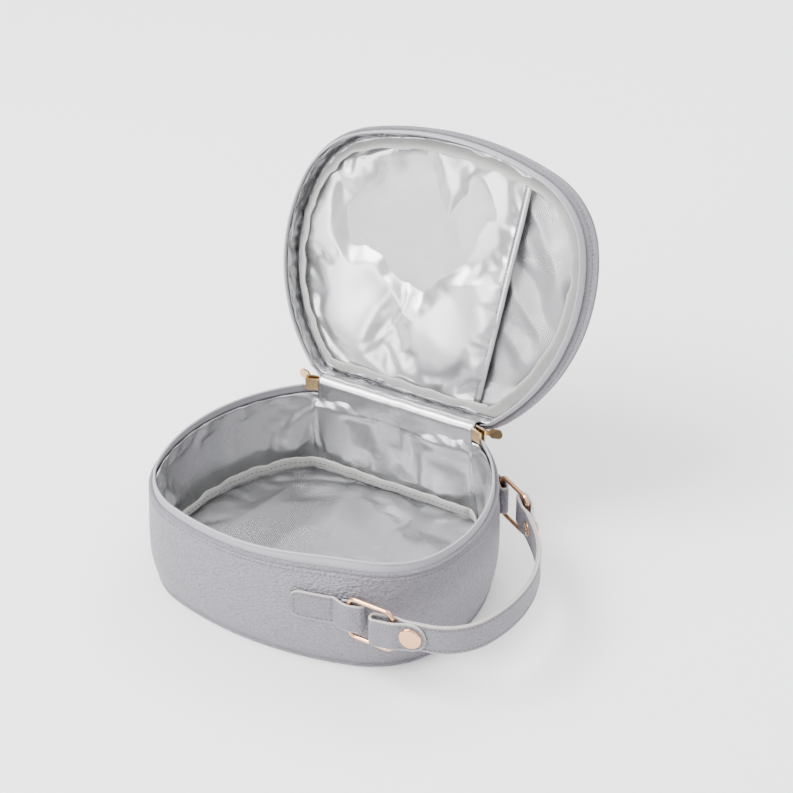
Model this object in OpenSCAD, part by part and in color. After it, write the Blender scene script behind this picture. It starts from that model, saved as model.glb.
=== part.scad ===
// Insulated cooler bag: a leather-look case with a foil lining, lying on its back panel with the lid swung open.
// +X runs along the hinge, +Z is up, the hinge is at +Y and the handle is at +X. The origin is the middle of the base.

/* [Case] */
// Width across the case, along the hinge
body_w = 228; // [200:1:280]
// Depth of the case, from its hinge edge to its front
body_d = 187; // [155:1:230]
// Length of the straight hinge edge
hinge_w = 122; // [100:1:148]
// Radius of the corners at the ends of the hinge edge
corner_r = 14; // [11:0.5:17]
// Radius of the shoulders, where the sides turn into the front
shoulder_r = 62; // [50:1:68]
// Where the case is widest, as a share of its depth from the hinge
widest_share = 0.53; // [0.48:0.01:0.56]
// Height of the body's leather wall
wall_h = 66; // [52:1:80]
// Height of the shut lid, from the zip to its top
lid_h = 27; // [24:1:34]
// How far the lid is swung open
open_angle = 114; // [90:1:120]

/* [Walls] */
// Thickness of the outer leather
leather_t = 1.2; // [0.8:0.1:1.6]
// Thickness of the insulating foam
foam_t = 4; // [3:0.5:5]
// Thickness of the foil lining
lining_t = 0.6; // [0.4:0.1:0.8]
// Diameter of the piping round the base and the lid's edge
edge_piping_d = 3.5; // [2.8:0.1:4.2]
// Diameter of the piping under the zip
rim_piping_d = 3; // [2.4:0.1:3.6]
// Height of the bound seam round the inside of the base
binding_h = 7; // [5:0.5:9]
// Thickness of the bound seams
binding_t = 2.5; // [1.5:0.1:3]
// Where the lid pocket's open edge runs, from the middle
pocket_edge_x = 52; // [30:1:70]

/* [Zip] */
// Height of each half of the zip above its leather edge
zip_half = 11; // [9:0.5:14]
// Width and thickness of the coil of one half
coil_w = 2.4; // [2:0.1:2.8]
// Thickness of the zip tape
tape_t = 0.8; // [0.5:0.1:1]
// Length of a zip slider
slider_l = 9; // [7.5:0.5:10.5]
// Length of a pull tab, from its pin to its tip
pull_l = 13; // [11:0.5:15]

/* [Handle] */
// Width of the strap and of the tabs that hold the rings
strap_w = 21; // [18:1:24]
// Thickness of the strap
strap_t = 2; // [1.5:0.1:2.4]
// Thickness of the backing sewn inside the strap
backing_t = 1; // [0.8:0.1:1.2]
// Distance of the front ring from the widest point, along the wall
front_reach = 98; // [80:1:104]
// Distance of the rear ring from the widest point, along the wall
rear_reach = 86; // [74:1:92]
// Height of the tabs, rings and handle above the floor
handle_z = 46; // [32:1:50]
// Length of the patch that is sewn to the wall
patch_l = 31; // [26:1:40]
// Radius of the ring wire
wire_r = 1.5; // [1.2:0.1:1.7]
// Distance between a ring's two upright bars
ring_l = 32; // [30:1:38]
// How far the front ring stands away from the wall
front_swing = 20; // [15:1:28]
// How far the rear ring stands away from the wall
rear_swing = 20; // [12:1:26]
// Radius of a rivet cap
cap_r = 7.5; // [6:0.5:8.5]
// Direction in which the strap leaves the front ring
strap_front_dir = 12; // [8:1:16]
// Direction of the strap where it meets its rear ring
strap_rear_dir = 132; // [128:1:140]

/* [Hidden] */

leather_colour = [0.74, 0.73, 0.75];
foil_colour = [0.80, 0.81, 0.82];
tape_colour = [0.78, 0.78, 0.82];
binding_colour = [0.85, 0.86, 0.84];
metal_colour = [0.88, 0.66, 0.52];
foam_colour = [0.95, 0.95, 0.95];

outline_steps = 60;      // stretches round the curved part of the outline
seat_gap = 0.3;          // clearance of a curved piece from the wall it is sewn to
run_gap = 0.1;           // clearance of a pin in its eye
zip_z = wall_h + zip_half;
hinge_half = hinge_w / 2;
half_w = body_w / 2;
half_d = body_d / 2;

// ---- Outline -------------------------------------------------------------------------------------------
// Each half of the outline is four arcs that run on smoothly from the end of the hinge edge: the corner, the
// side, the shoulder and half of the front. A heading turns clockwise from +X, and points at the hinge
// edge's end along it. An inset is measured inwards from the outer wall.
widest_y = widest_share * body_d;                // distance from the hinge edge
side_past_share = 0.19;
side_past = side_past_share * body_d;            // the side arc runs on past the widest point by this
corner_turn = 90 - 2 * atan((half_w - hinge_half - corner_r) / (widest_y - corner_r));
side_r = corner_r + (widest_y - corner_r) / cos(corner_turn);
side_end = 90 + asin(side_past / side_r);        // heading where the side ends
function reversed(list) = [for (i = [len(list) - 1 : -1 : 0]) list[i]];
function last(list) = list[len(list) - 1];
function outward(heading) = [sin(heading), cos(heading)];
function arc_chord(r, from, to) = r * (outward(to) - outward(from));
side_end_p = [half_w - side_r * (1 - sin(side_end)), half_d - widest_y - side_past];
shoulder_c = side_end_p - shoulder_r * outward(side_end);
shoulder_y = shoulder_c.y + half_d;
// The front arc's centre is on the middle line, and it touches the shoulder arc
front_r = (pow(shoulder_c.x, 2) + pow(shoulder_y, 2) - pow(shoulder_r, 2)) / (2 * (shoulder_y - shoulder_r));
front_to_shoulder = shoulder_c - [0, front_r - half_d];
shoulder_end = atan2(front_to_shoulder.x, front_to_shoulder.y);
radii = [corner_r, side_r, shoulder_r, front_r];
turns = [0, corner_turn, side_end, shoulder_end, 180];
arc_lengths = [for (i = [0 : 3]) radii[i] * (turns[i + 1] - turns[i]) * PI / 180];
starts = [for (i = 0, s = 0, p = [hinge_half, half_d]; i < 4;
               p = p + arc_chord(radii[i], turns[i], turns[i + 1]), s = s + arc_lengths[i], i = i + 1)
              [s, p]];
half_length = arc_lengths[0] + arc_lengths[1] + arc_lengths[2] + arc_lengths[3];
wall_length = 2 * half_length;
function arc_at(s) = s < starts[1][0] ? 0 : s < starts[2][0] ? 1 : s < starts[3][0] ? 2 : 3;
// Heading of the wall at a distance s along it from the right end of the hinge edge
function heading(s) =
    s < 0 ? 0
    : s > half_length ? 360 - heading(wall_length - s)
    : let (i = arc_at(s)) turns[i] + (s - starts[i][0]) / radii[i] * 180 / PI;
function outer_point(s) =
    s < 0 ? [hinge_half + s, half_d]
    : s > half_length ? let (p = outer_point(wall_length - s)) [-p.x, p.y]
    : let (i = arc_at(s)) starts[i][1] + arc_chord(radii[i], turns[i], heading(s));
function wall_normal(s) = outward(heading(s));
function wall_along(s) = let (n = wall_normal(s)) [n.y, -n.x];
function wall_point(s, out) = outer_point(s) + out * wall_normal(s);
// Distance along the wall to its widest point, where the handle's middle is
side_mid = starts[1][0] + side_r * (90 - corner_turn) * PI / 180;
// Distances for an outline of n stretches, closer together on the corners and shoulders
arc_shares = [0.12, 0.34, 0.3, 0.24];
function half_stretches(n) = [for (i = [0 : 3]) round(arc_shares[i] * n)];
half_marks = let (k = half_stretches(outline_steps / 2))
    [for (i = [0 : 3], j = [0 : k[i] - 1]) starts[i][0] + arc_lengths[i] * j / k[i]];
marks = concat(half_marks, [half_length], [for (s = reversed(half_marks)) wall_length - s]);
// The curved part, from the right end of the hinge edge round the front to its left end
function outline(inset) = [for (s = marks) wall_point(s, -inset)];

// ---- Building blocks -----------------------------------------------------------------------------------
module plate(inset, z0, z1) {
    translate([0, 0, z0]) linear_extrude(z1 - z0) polygon(outline(inset));
}
// A whole upright wall between two insets
module wall_ring(inset0, inset1, z0, z1) {
    translate([0, 0, z0]) linear_extrude(z1 - z0) difference() {
        polygon(outline(inset0));
        polygon(outline(inset1));
    }
}
// The curved part of an upright wall, open at the hinge edge
module wall_curve(inset0, inset1, z0, z1) {
    translate([0, 0, z0]) linear_extrude(z1 - z0)
        polygon(concat(outline(inset0), reversed(outline(inset1))));
}
// The straight part of an upright wall, along the hinge edge
module wall_back(inset0, inset1, z0, z1) {
    a = outline(inset0);
    b = outline(inset1);
    translate([0, 0, z0]) linear_extrude(z1 - z0) polygon([a[0], last(a), last(b), b[0]]);
}
// An upright band along the wall from s0 to s1, between two distances outside it
module wall_band(s0, s1, out0, out1, z0, z1, steps) {
    s = [for (i = [0 : steps]) s0 + (s1 - s0) * i / steps];
    translate([0, 0, z0]) linear_extrude(z1 - z0)
        polygon(concat([for (x = s) wall_point(x, out1)], [for (x = reversed(s)) wall_point(x, out0)]));
}
// Joins rings of points into one closed tube: side i of each ring meets side i of the next
module tube(rings, closed) {
    n = len(rings[0]);
    m = len(rings);
    spans = closed ? m : m - 1;
    sides = [for (j = [0 : spans - 1], i = [0 : n - 1])
        [j * n + i, j * n + (i + 1) % n, ((j + 1) % m) * n + (i + 1) % n, ((j + 1) % m) * n + i]];
    caps = closed ? [] : [[for (i = [n - 1 : -1 : 0]) i], [for (i = [0 : n - 1]) (m - 1) * n + i]];
    polyhedron([for (r = rings) each r], concat(sides, caps), convexity = 8);
}
piping_sides = 8;
function piping_profile(inset, z, r) =
    [for (i = [0 : piping_sides - 1])
        [inset + r * cos(360 * (i + 0.5) / piping_sides), z + r * sin(360 * (i + 0.5) / piping_sides)]];
// Round piping all the way round the case, hinge edge included
module piping_loop(inset, z, r) {
    profile = piping_profile(inset, z, r);
    outlines = [for (p = profile) outline(p[0])];
    tube([for (i = [0 : len(marks) - 1]) [for (j = [0 : piping_sides - 1])
        [outlines[j][i].x, outlines[j][i].y, profile[j][1]]]], true);
}
// Round piping round the curved part only
module piping_curve(inset, z, r, s0) {
    profile = piping_profile(inset, z, r);
    tube([for (i = [0 : outline_steps])
        let (s = s0 + (wall_length - 2 * s0) * i / outline_steps)
        [for (p = profile) let (w = wall_point(s, -p[0])) [w.x, w.y, p[1]]]], false);
}
// A slot with round ends from p to q
module slot(p, q, r) {
    half_turn = [for (i = [0 : 20]) 90 + 9 * i];
    d = q - p;
    a = atan2(d.y, d.x);
    polygon(concat([for (t = half_turn) p + r * [cos(a + t), sin(a + t)]],
                   [for (t = half_turn) q - r * [cos(a + t), sin(a + t)]]));
}
// Swings lid pieces, which are drawn as an upside-down shallow case, up about the hinge
module on_lid() {
    translate([0, half_d, zip_z]) rotate([-open_angle, 0, 0]) mirror([0, 0, 1])
        translate([0, -half_d, -zip_z]) children();
}

// ---- Shells of the body and, upside down, of the lid ----------------------------------------------------
// Each takes the height of its floor: 0 for the body, and the lid's top for the lid.
lid_floor = zip_z - lid_h;
board_t = edge_piping_d - leather_t;
floor_foam_t = 4.5;
edge_r = edge_piping_d / 2;
rim_r = rim_piping_d / 2;
piping_proud = 0.85;                             // how far the edge piping stands out from the wall
panel_gap = 0.05;
edge_inset = edge_r - piping_proud;
panel_inset = edge_inset + edge_r + panel_gap;
foam_inset = leather_t;
lining_inset = leather_t + foam_t;
inner_inset = lining_inset + lining_t;
tape_setback = 1.8;                              // how far the zip tape stands outside the lining
tape_inset = lining_inset - tape_setback;
coil_inset = tape_inset + tape_t / 2;
foam_stop = 2;                                   // how far the foam stops below the wall's top
foam_top = wall_h - foam_stop;
function foam_floor(z) = z + edge_piping_d;
function lining_floor(z) = foam_floor(z) + floor_foam_t;
function inside_floor(z) = lining_floor(z) + lining_t;

module panel_shape(z) { plate(panel_inset, z, z + leather_t); }
module board_shape(z) { plate(panel_inset, z + leather_t, foam_floor(z)); }
module floor_foam_shape(z) { plate(foam_inset, foam_floor(z), lining_floor(z)); }
module floor_lining_shape(z) { plate(lining_inset, lining_floor(z), inside_floor(z)); }
module edge_piping_shape(z) { piping_loop(edge_inset, z + edge_r, edge_r); }
module wall_shape(z) { wall_ring(0, leather_t, foam_floor(z), wall_h); }
module wall_foam_shape(z) { wall_ring(foam_inset, lining_inset, lining_floor(z), foam_top); }
module wall_lining_shape(z) { wall_curve(lining_inset, inner_inset, inside_floor(z), foam_top); }
module back_lining_shape(z) { wall_back(lining_inset, inner_inset, inside_floor(z), foam_top); }
module binding_shape(z, h) {
    wall_ring(inner_inset, inner_inset + binding_t, inside_floor(z), inside_floor(z) + h);
}

slider_s = 5;                                    // middle of a slider, from the hinge corner
// The coil starts where the slider ends, and lies on a tighter curve than the wall
zip_start = slider_s + slider_l / 2 * corner_r / (corner_r - coil_inset) + 0.6;
tape_bottom = foam_top;
coil_gap = 0.15;                                 // half of the gap between the two shut coils
coil_bottom = zip_z - coil_gap - coil_w;
module rim_piping_shape() { piping_curve(rim_r - 0.1, wall_h + rim_r, rim_r, 1); }
module zip_tape_shape(s0) {
    wall_band(s0, wall_length - s0, -tape_inset - tape_t, -tape_inset, tape_bottom, coil_bottom, outline_steps);
}
module zip_coil_shape(s0) {
    wall_band(s0, wall_length - s0, -coil_inset - coil_w / 2, -coil_inset + coil_w / 2,
              coil_bottom, coil_bottom + coil_w, outline_steps);
}

module base_panel() { color(leather_colour) panel_shape(0); }
module base_board() { color(foam_colour) board_shape(0); }
module base_foam() { color(foam_colour) floor_foam_shape(0); }
module base_lining() { color(foil_colour) floor_lining_shape(0); }
module base_piping() { color(leather_colour) edge_piping_shape(0); }
module body_wall() { color(leather_colour) wall_shape(0); }
module body_foam() { color(foam_colour) wall_foam_shape(0); }
module body_wall_lining() { color(foil_colour) wall_lining_shape(0); }
module body_back_lining() { color(foil_colour) back_lining_shape(0); }
module body_binding() { color(binding_colour) binding_shape(0, binding_h); }
module body_rim_piping() { color(leather_colour) rim_piping_shape(); }
module body_zip_tape() { color(tape_colour) zip_tape_shape(zip_start); }
module body_zip_coil() { color(tape_colour) zip_coil_shape(zip_start); }

lid_binding_h = foam_top - inside_floor(lid_floor);
module lid_panel() { color(leather_colour) on_lid() panel_shape(lid_floor); }
module lid_board() { color(foam_colour) on_lid() board_shape(lid_floor); }
module lid_foam() { color(foam_colour) on_lid() floor_foam_shape(lid_floor); }
module lid_lining() { color(foil_colour) on_lid() floor_lining_shape(lid_floor); }
module lid_piping() { color(leather_colour) on_lid() edge_piping_shape(lid_floor); }
module lid_wall() { color(leather_colour) on_lid() wall_shape(lid_floor); }
module lid_wall_foam() { color(foam_colour) on_lid() wall_foam_shape(lid_floor); }
module lid_wall_lining() { color(foil_colour) on_lid() wall_lining_shape(lid_floor); }
module lid_back_lining() { color(foil_colour) on_lid() back_lining_shape(lid_floor); }
module lid_binding() { color(binding_colour) on_lid() binding_shape(lid_floor, lid_binding_h); }
module lid_rim_piping() { color(leather_colour) on_lid() rim_piping_shape(); }
module lid_zip_tape() { color(tape_colour) on_lid() zip_tape_shape(zip_start); }
module lid_zip_coil() { color(tape_colour) on_lid() zip_coil_shape(zip_start); }
// A sheet over most of the lid's lining, sewn in at its rim and open along its right-hand edge
pocket_gap = 0.5;
module lid_pocket() {
    z = inside_floor(lid_floor) + pocket_gap;
    color(foil_colour) on_lid() intersection() {
        plate(inner_inset + binding_t, z, z + lining_t);
        translate([-body_w, -body_d, z - 1]) cube([body_w + pocket_edge_x, 2 * body_d, 3]);
    }
}

// ---- Fabric hinge: two strips folded round the hinge line -----------------------------------------------
// A strip between two radii from the hinge line, reaching down the body and out to the lid
module hinge_strip(r0, r1, width, reach) {
    up = [sin(open_angle), cos(open_angle)];
    inward = [-cos(open_angle), sin(open_angle)];
    bend = [for (i = [0 : 10]) 180 - open_angle * (10 - i) / 10];
    translate([-width / 2, half_d, zip_z]) rotate([90, 0, 90]) linear_extrude(width)
        polygon(concat([[-r0, -reach]],
                       r0 > 0 ? [for (a = reversed(bend)) r0 * [cos(a), sin(a)]] : [[0, 0]],
                       [r0 * inward + reach * up, r1 * inward + reach * up],
                       [for (a = bend) r1 * [cos(a), sin(a)]],
                       [[-r1, -reach]]));
}
module hinge_panel() { color(leather_colour) hinge_strip(0, leather_t, hinge_w - 4, zip_half); }
module hinge_lining() {
    color(foil_colour) hinge_strip(lining_inset, inner_inset, hinge_w - 10, zip_z - foam_top);
}

// ---- Zip sliders and pull tabs --------------------------------------------------------------------------
slider_h = 8.6;
plate_t = 1.2;
channel = coil_w + 0.8;                          // room between a slider's plates
pin_r = 0.8;
eye_r = pin_r + run_gap;
eye_wall = 1;
lug_gap = 3.6;                                   // room for the pull tab's eye between the lugs
lug_t = 1;
pin_out = channel / 2 + plate_t + eye_r + eye_wall + 0.2;
pull_swing = 35;                                 // how far a pull tab stands off the zip
pull_w = 7;
pull_t = 1.4;
// Places children on the zip at the right-hand slider: x along the zip, y outwards
module at_slider() {
    p = wall_point(slider_s, -coil_inset);
    along = wall_along(slider_s);
    translate([p.x, p.y, zip_z]) rotate(atan2(along.y, along.x)) children();
}
module slider_shape() {
    at_slider() {
        for (side = [-1, 1])
            translate([-slider_l / 2, side * (channel + plate_t) / 2 - plate_t / 2, -slider_h / 2])
                cube([slider_l, plate_t, slider_h]);
        translate([-slider_l / 2, -channel / 2 - plate_t / 2, -1.2]) cube([1.8, channel + plate_t, 2.4]);
        translate([0, pin_out, -lug_gap / 2 - lug_t]) cylinder(r = pin_r, h = lug_gap + 2 * lug_t, $fn = 24);
        for (z = [-lug_gap / 2 - lug_t, lug_gap / 2])
            translate([-1.2, channel / 2 + plate_t / 2, z])
                cube([2.4, pin_out + pin_r - channel / 2 - plate_t / 2, lug_t]);
    }
}
module pull_shape() {
    eye_h = lug_gap - 0.4;
    at_slider() translate([0, pin_out, 0]) rotate(pull_swing) difference() {
        union() {
            translate([0, 0, -eye_h / 2]) cylinder(r = eye_r + eye_wall, h = eye_h, $fn = 24);
            translate([0, -pull_t / 2, -eye_h / 2]) cube([4.2, pull_t, eye_h]);
            translate([4, pull_t / 2, 0]) rotate([90, 0, 0]) linear_extrude(pull_t) {
                translate([0, -pull_w / 2 + 1]) square([1.2, pull_w - 2]);
                translate([1, -pull_w / 2]) square([pull_l - pull_w / 2 - 5, pull_w]);
                translate([pull_l - pull_w / 2 - 4, 0]) circle(pull_w / 2, $fn = 32);
            }
        }
        translate([0, 0, -eye_h]) cylinder(r = eye_r, h = 2 * eye_h, $fn = 24);
    }
}
module right_zip_slider() { color(metal_colour) slider_shape(); }
module left_zip_slider() { color(metal_colour) mirror([1, 0, 0]) slider_shape(); }
module right_zip_pull() { color(metal_colour) pull_shape(); }
module left_zip_pull() { color(metal_colour) mirror([1, 0, 0]) pull_shape(); }

// ---- Ring tabs and rings --------------------------------------------------------------------------------
ring_inner_h = strap_w + 5;
ring_corner = 5;
tab_slot_r = wire_r + 0.5;
tab_t = 2;
tab_out = seat_gap + tab_t + tab_slot_r + 0.2;   // distance of a ring's near bar from the wall
tab_loop_l = 7;                                  // room in the loop behind the bar, towards the patch
tab_slack = 7;                                   // room in the loop ahead of the bar, up to its fold
front_s = side_mid + front_reach;
rear_s = side_mid - rear_reach;
front_bar = wall_point(front_s, tab_out);
rear_bar = wall_point(rear_s, tab_out);
function dir(a) = [cos(a), sin(a)];
function angle_of(v) = atan2(v.y, v.x);
// Directions along the wall towards the middle of the side
front_tab_dir = angle_of(-wall_along(front_s));
rear_tab_dir = angle_of(wall_along(rear_s));
front_ring_dir = front_tab_dir - front_swing;
rear_ring_dir = rear_tab_dir + rear_swing;
front_end = front_bar + ring_l * dir(front_ring_dir);
rear_end = rear_bar + ring_l * dir(rear_ring_dir);

// A patch along the wall from s0 to s1, and a loop round a ring's near bar
module ring_tab(s0, s1, bar, towards) {
    back = bar - tab_loop_l * dir(towards);
    fold = bar + tab_slack * dir(towards);
    patch_steps = 12;
    wall_band(s0, s1, seat_gap, seat_gap + tab_t, handle_z - strap_w / 2, handle_z + strap_w / 2, patch_steps);
    translate([0, 0, handle_z - strap_w / 2]) linear_extrude(strap_w) difference() {
        slot(fold, back, tab_slot_r + tab_t);
        slot(fold, back, tab_slot_r);
    }
}
module front_ring_tab() {
    color(leather_colour) ring_tab(front_s + tab_loop_l, front_s + tab_loop_l + patch_l, front_bar, front_tab_dir);
}
module rear_ring_tab() {
    color(leather_colour) ring_tab(rear_s - tab_loop_l - patch_l, rear_s - tab_loop_l, rear_bar, rear_tab_dir);
}
// A wire ring with round corners, standing on edge from its near bar
module wire_ring(bar, towards) {
    h = ring_inner_h + 2 * wire_r;
    straight_h = h - 2 * ring_corner;
    straight_l = ring_l - 2 * ring_corner;
    translate([bar.x, bar.y, handle_z]) rotate(towards) translate([ring_l / 2, 0, 0]) rotate([90, 0, 0]) {
        for (side = [-1, 1]) {
            translate([side * ring_l / 2, -straight_h / 2, 0]) rotate([-90, 0, 0])
                cylinder(r = wire_r, h = straight_h, $fn = 32);
            translate([-straight_l / 2, side * h / 2, 0]) rotate([0, 90, 0])
                cylinder(r = wire_r, h = straight_l, $fn = 32);
        }
        for (i = [0 : 3])
            translate([(i == 0 || i == 3 ? 1 : -1) * straight_l / 2, (i < 2 ? 1 : -1) * straight_h / 2, 0])
                rotate(90 * i) rotate_extrude(angle = 90, $fn = 64)
                    translate([ring_corner, 0]) circle(wire_r, $fn = 32);
    }
}
module front_ring() { color(metal_colour) wire_ring(front_bar, front_ring_dir); }
module rear_ring() { color(metal_colour) wire_ring(rear_bar, rear_ring_dir); }

// ---- Handle ---------------------------------------------------------------------------------------------
// The strap's line runs from the front ring's far bar to the rear one's: straight, two arcs, straight.
bend_dir = 70;                                    // direction where the two arcs meet
fold_l = 11;                                     // how far a loop reaches back past its bar
loop_r = wire_r + 0.9;                           // half of the room inside a loop
rivet_l = loop_r + strap_t + cap_r + 0.3;        // distance of a rivet from its bar
flap_l = rivet_l + cap_r + 2.5;
straight_l = flap_l + 0.5;                       // straight part of each end of the strap
// A unit-radius arc's displacement between two directions
function arc_step(a, b) = [sin(b) - sin(a), cos(a) - cos(b)];
arc_a = arc_step(strap_front_dir, bend_dir);
arc_b = arc_step(bend_dir, strap_rear_dir);
arc_gap = rear_end - front_end - straight_l * dir(strap_front_dir) - straight_l * dir(strap_rear_dir);
arc_det = arc_a.x * arc_b.y - arc_a.y * arc_b.x;
front_bend_r = (arc_gap.x * arc_b.y - arc_gap.y * arc_b.x) / arc_det;
rear_bend_r = (arc_a.x * arc_gap.y - arc_a.y * arc_gap.x) / arc_det;
front_arc_start = front_end + straight_l * dir(strap_front_dir);
rear_arc_start = front_arc_start + front_bend_r * arc_a;
arc_steps = 14;
// Points and directions of the strap's line, from front bar to rear bar
strap_line = concat(
    [[front_end, strap_front_dir]],
    [for (i = [0 : arc_steps]) let (a = strap_front_dir + (bend_dir - strap_front_dir) * i / arc_steps)
        [front_arc_start + front_bend_r * arc_step(strap_front_dir, a), a]],
    [for (i = [1 : arc_steps]) let (a = bend_dir + (strap_rear_dir - bend_dir) * i / arc_steps)
        [rear_arc_start + rear_bend_r * arc_step(bend_dir, a), a]],
    [[rear_end, strap_rear_dir]]);
function beside(p, out) = p[0] + out * [sin(p[1]), -cos(p[1])];
module strap_band(out0, out1) {
    polygon(concat([for (p = strap_line) beside(p, out1)], [for (p = reversed(strap_line)) beside(p, out0)]));
}
// The end of the strap, folded back round a ring's far bar; side is 1 where the flap lies to the right
module folded_end(bar, towards, side) {
    translate(bar) rotate(towards) {
        slot([0, 0], [-fold_l, 0], loop_r + strap_t);
        translate([0, side > 0 ? -strap_t : 0]) square([flap_l, strap_t]);
    }
}
module strap_solid() { translate([0, 0, handle_z - strap_w / 2]) linear_extrude(strap_w) children(); }
// Places children at a rivet, with z along its shank from the strap towards the cap
module at_rivet(bar, towards, side) {
    translate([bar.x, bar.y, handle_z]) rotate(towards) translate([rivet_l, 0, 0])
        rotate([side > 0 ? 90 : -90, 0, 0]) children();
}
shank_r = 2.4;
shank_wall = 0.7;
post_r = shank_r - shank_wall - run_gap;
module rivet_hole() {
    translate([0, 0, -strap_t - backing_t - 1])
        cylinder(r = shank_r + run_gap, h = 2 * strap_t + backing_t + 2, $fn = 48);
}
module both_rivets() {
    at_rivet(front_end, strap_front_dir, 1) children();
    at_rivet(rear_end, strap_rear_dir + 180, -1) children();
}
module handle_strap() {
    color(leather_colour) difference() {
        strap_solid() difference() {
            union() {
                strap_band(-strap_t, 0);
                folded_end(front_end, strap_front_dir, 1);
                folded_end(rear_end, strap_rear_dir + 180, -1);
            }
            slot(front_end, front_end - fold_l * dir(strap_front_dir), loop_r);
            slot(rear_end, rear_end + fold_l * dir(strap_rear_dir), loop_r);
        }
        both_rivets() rivet_hole();
    }
}
module handle_backing() {
    color(leather_colour) difference() {
        strap_solid() difference() {
            strap_band(-strap_t - backing_t, -strap_t);
            translate(front_end) circle(loop_r + strap_t + 0.05, $fn = 48);
            translate(rear_end) circle(loop_r + strap_t + 0.05, $fn = 48);
        }
        both_rivets() rivet_hole();
    }
}
cap_t = 1.6;
flange_r = 5;
flange_t = 1.2;
module rivet_cap_shape() {
    rotate_extrude($fn = 64) polygon([
        [shank_r - shank_wall, -strap_t - backing_t], [shank_r, -strap_t - backing_t], [shank_r, strap_t],
        [cap_r, strap_t], [cap_r, strap_t + 0.7], [cap_r - 1, strap_t + cap_t - 0.2],
        [cap_r - 2.5, strap_t + cap_t], [0, strap_t + cap_t], [0, strap_t + 0.4],
        [shank_r - shank_wall, strap_t + 0.4]]);
}
module rivet_post_shape() {
    rotate_extrude($fn = 64) translate([0, -strap_t - backing_t]) polygon([
        [0.9, -flange_t], [flange_r - 0.6, -flange_t], [flange_r, -flange_t + 0.5], [flange_r, 0],
        [post_r, 0], [post_r, strap_t + backing_t], [0.9, strap_t + backing_t]]);
}
module front_rivet_cap() { color(metal_colour) at_rivet(front_end, strap_front_dir, 1) rivet_cap_shape(); }
module front_rivet_post() { color(metal_colour) at_rivet(front_end, strap_front_dir, 1) rivet_post_shape(); }
module rear_rivet_cap() { color(metal_colour) at_rivet(rear_end, strap_rear_dir + 180, -1) rivet_cap_shape(); }
module rear_rivet_post() { color(metal_colour) at_rivet(rear_end, strap_rear_dir + 180, -1) rivet_post_shape(); }

// ---- Output ---------------------------------------------------------------------------------------------
base_panel();
base_board();
base_foam();
base_lining();
base_piping();
body_wall();
body_foam();
body_wall_lining();
body_back_lining();
body_binding();
body_rim_piping();
body_zip_tape();
body_zip_coil();
left_zip_slider();
right_zip_slider();
left_zip_pull();
right_zip_pull();
hinge_panel();
hinge_lining();
front_ring_tab();
rear_ring_tab();
front_ring();
rear_ring();
lid_panel();
lid_board();
lid_foam();
lid_lining();
lid_piping();
lid_wall();
lid_wall_foam();
lid_wall_lining();
lid_back_lining();
lid_binding();
lid_rim_piping();
lid_zip_tape();
lid_zip_coil();
lid_pocket();
handle_strap();
handle_backing();
front_rivet_cap();
front_rivet_post();
rear_rivet_cap();
rear_rivet_post();
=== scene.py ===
"""Insulated cooler bag: leather case, foil lining, zip, strap handle and hardware, round the CAD frame."""
import math

import bmesh
import bpy
import numpy as np
from bpy.props import FloatProperty, FloatVectorProperty
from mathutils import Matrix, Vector, noise


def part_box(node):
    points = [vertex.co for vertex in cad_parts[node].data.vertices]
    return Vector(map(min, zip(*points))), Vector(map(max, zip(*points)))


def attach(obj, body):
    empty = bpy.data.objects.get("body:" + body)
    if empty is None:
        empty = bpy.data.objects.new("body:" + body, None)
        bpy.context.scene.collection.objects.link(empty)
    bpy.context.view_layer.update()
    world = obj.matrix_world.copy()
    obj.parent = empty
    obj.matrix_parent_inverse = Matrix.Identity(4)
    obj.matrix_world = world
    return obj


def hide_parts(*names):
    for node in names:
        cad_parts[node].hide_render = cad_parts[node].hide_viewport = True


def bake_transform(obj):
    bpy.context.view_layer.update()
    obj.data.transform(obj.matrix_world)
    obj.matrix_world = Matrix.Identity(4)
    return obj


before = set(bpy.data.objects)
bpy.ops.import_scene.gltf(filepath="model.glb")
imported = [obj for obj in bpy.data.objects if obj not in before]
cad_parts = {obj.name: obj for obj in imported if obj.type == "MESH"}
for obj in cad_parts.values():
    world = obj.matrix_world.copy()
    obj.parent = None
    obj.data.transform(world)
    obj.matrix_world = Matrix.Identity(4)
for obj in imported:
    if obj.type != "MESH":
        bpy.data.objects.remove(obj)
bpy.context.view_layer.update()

bl_info = {
    "name": "Cooler bag",
    "version": (1, 0, 0),
    "blender": (4, 5, 0),
    "location": "View3D > Sidebar > Cooler bag",
    "description": "Soft case, foil lining, zip and strap handle of an insulated cooler bag",
    "category": "Object",
}

MM = 0.001
OPEN_ANGLE = math.radians(114)

# ---- The wall's outline, in millimetres, as in the CAD model -------------------------------------------
CASE_W, CASE_D = [1000 * (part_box("body_wall")[1][i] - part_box("body_wall")[0][i]) for i in (0, 1)]
HALF_D = CASE_D / 2
HINGE_HALF = 61.0
CORNER_R, SHOULDER_R, WIDEST_SHARE, SIDE_PAST_SHARE = 14.0, 62.0, 0.53, 0.19
WALL_TOP, ZIP_Z, LID_FLOOR = 66.0, 77.0, 50.0
BODY_TOP = 68.4          # top of the body's leather, which is pulled up to the zip all round
FLOOR_STACK = 8.7        # board, foam and film, from the outside of a floor to the inside
PAD_INSET, WALL_FILM_INSET, FILM_T = 5.4, 5.6, 0.35
PANEL_HALF, PAD_HALF = (108, 88), (106, 86)      # half width and half depth that a floor crowns over
EDGE_PIPING_R, RIM_PIPING_R = 1.75, 1.5
TAPE_TOP, COIL_Z, COIL_INSET, COIL_R = 75.3, 75.5, 3.85, 0.85
BINDING_STEP = 1.9


def outward(heading):
    return np.stack([np.sin(heading), np.cos(heading)], -1)


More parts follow.
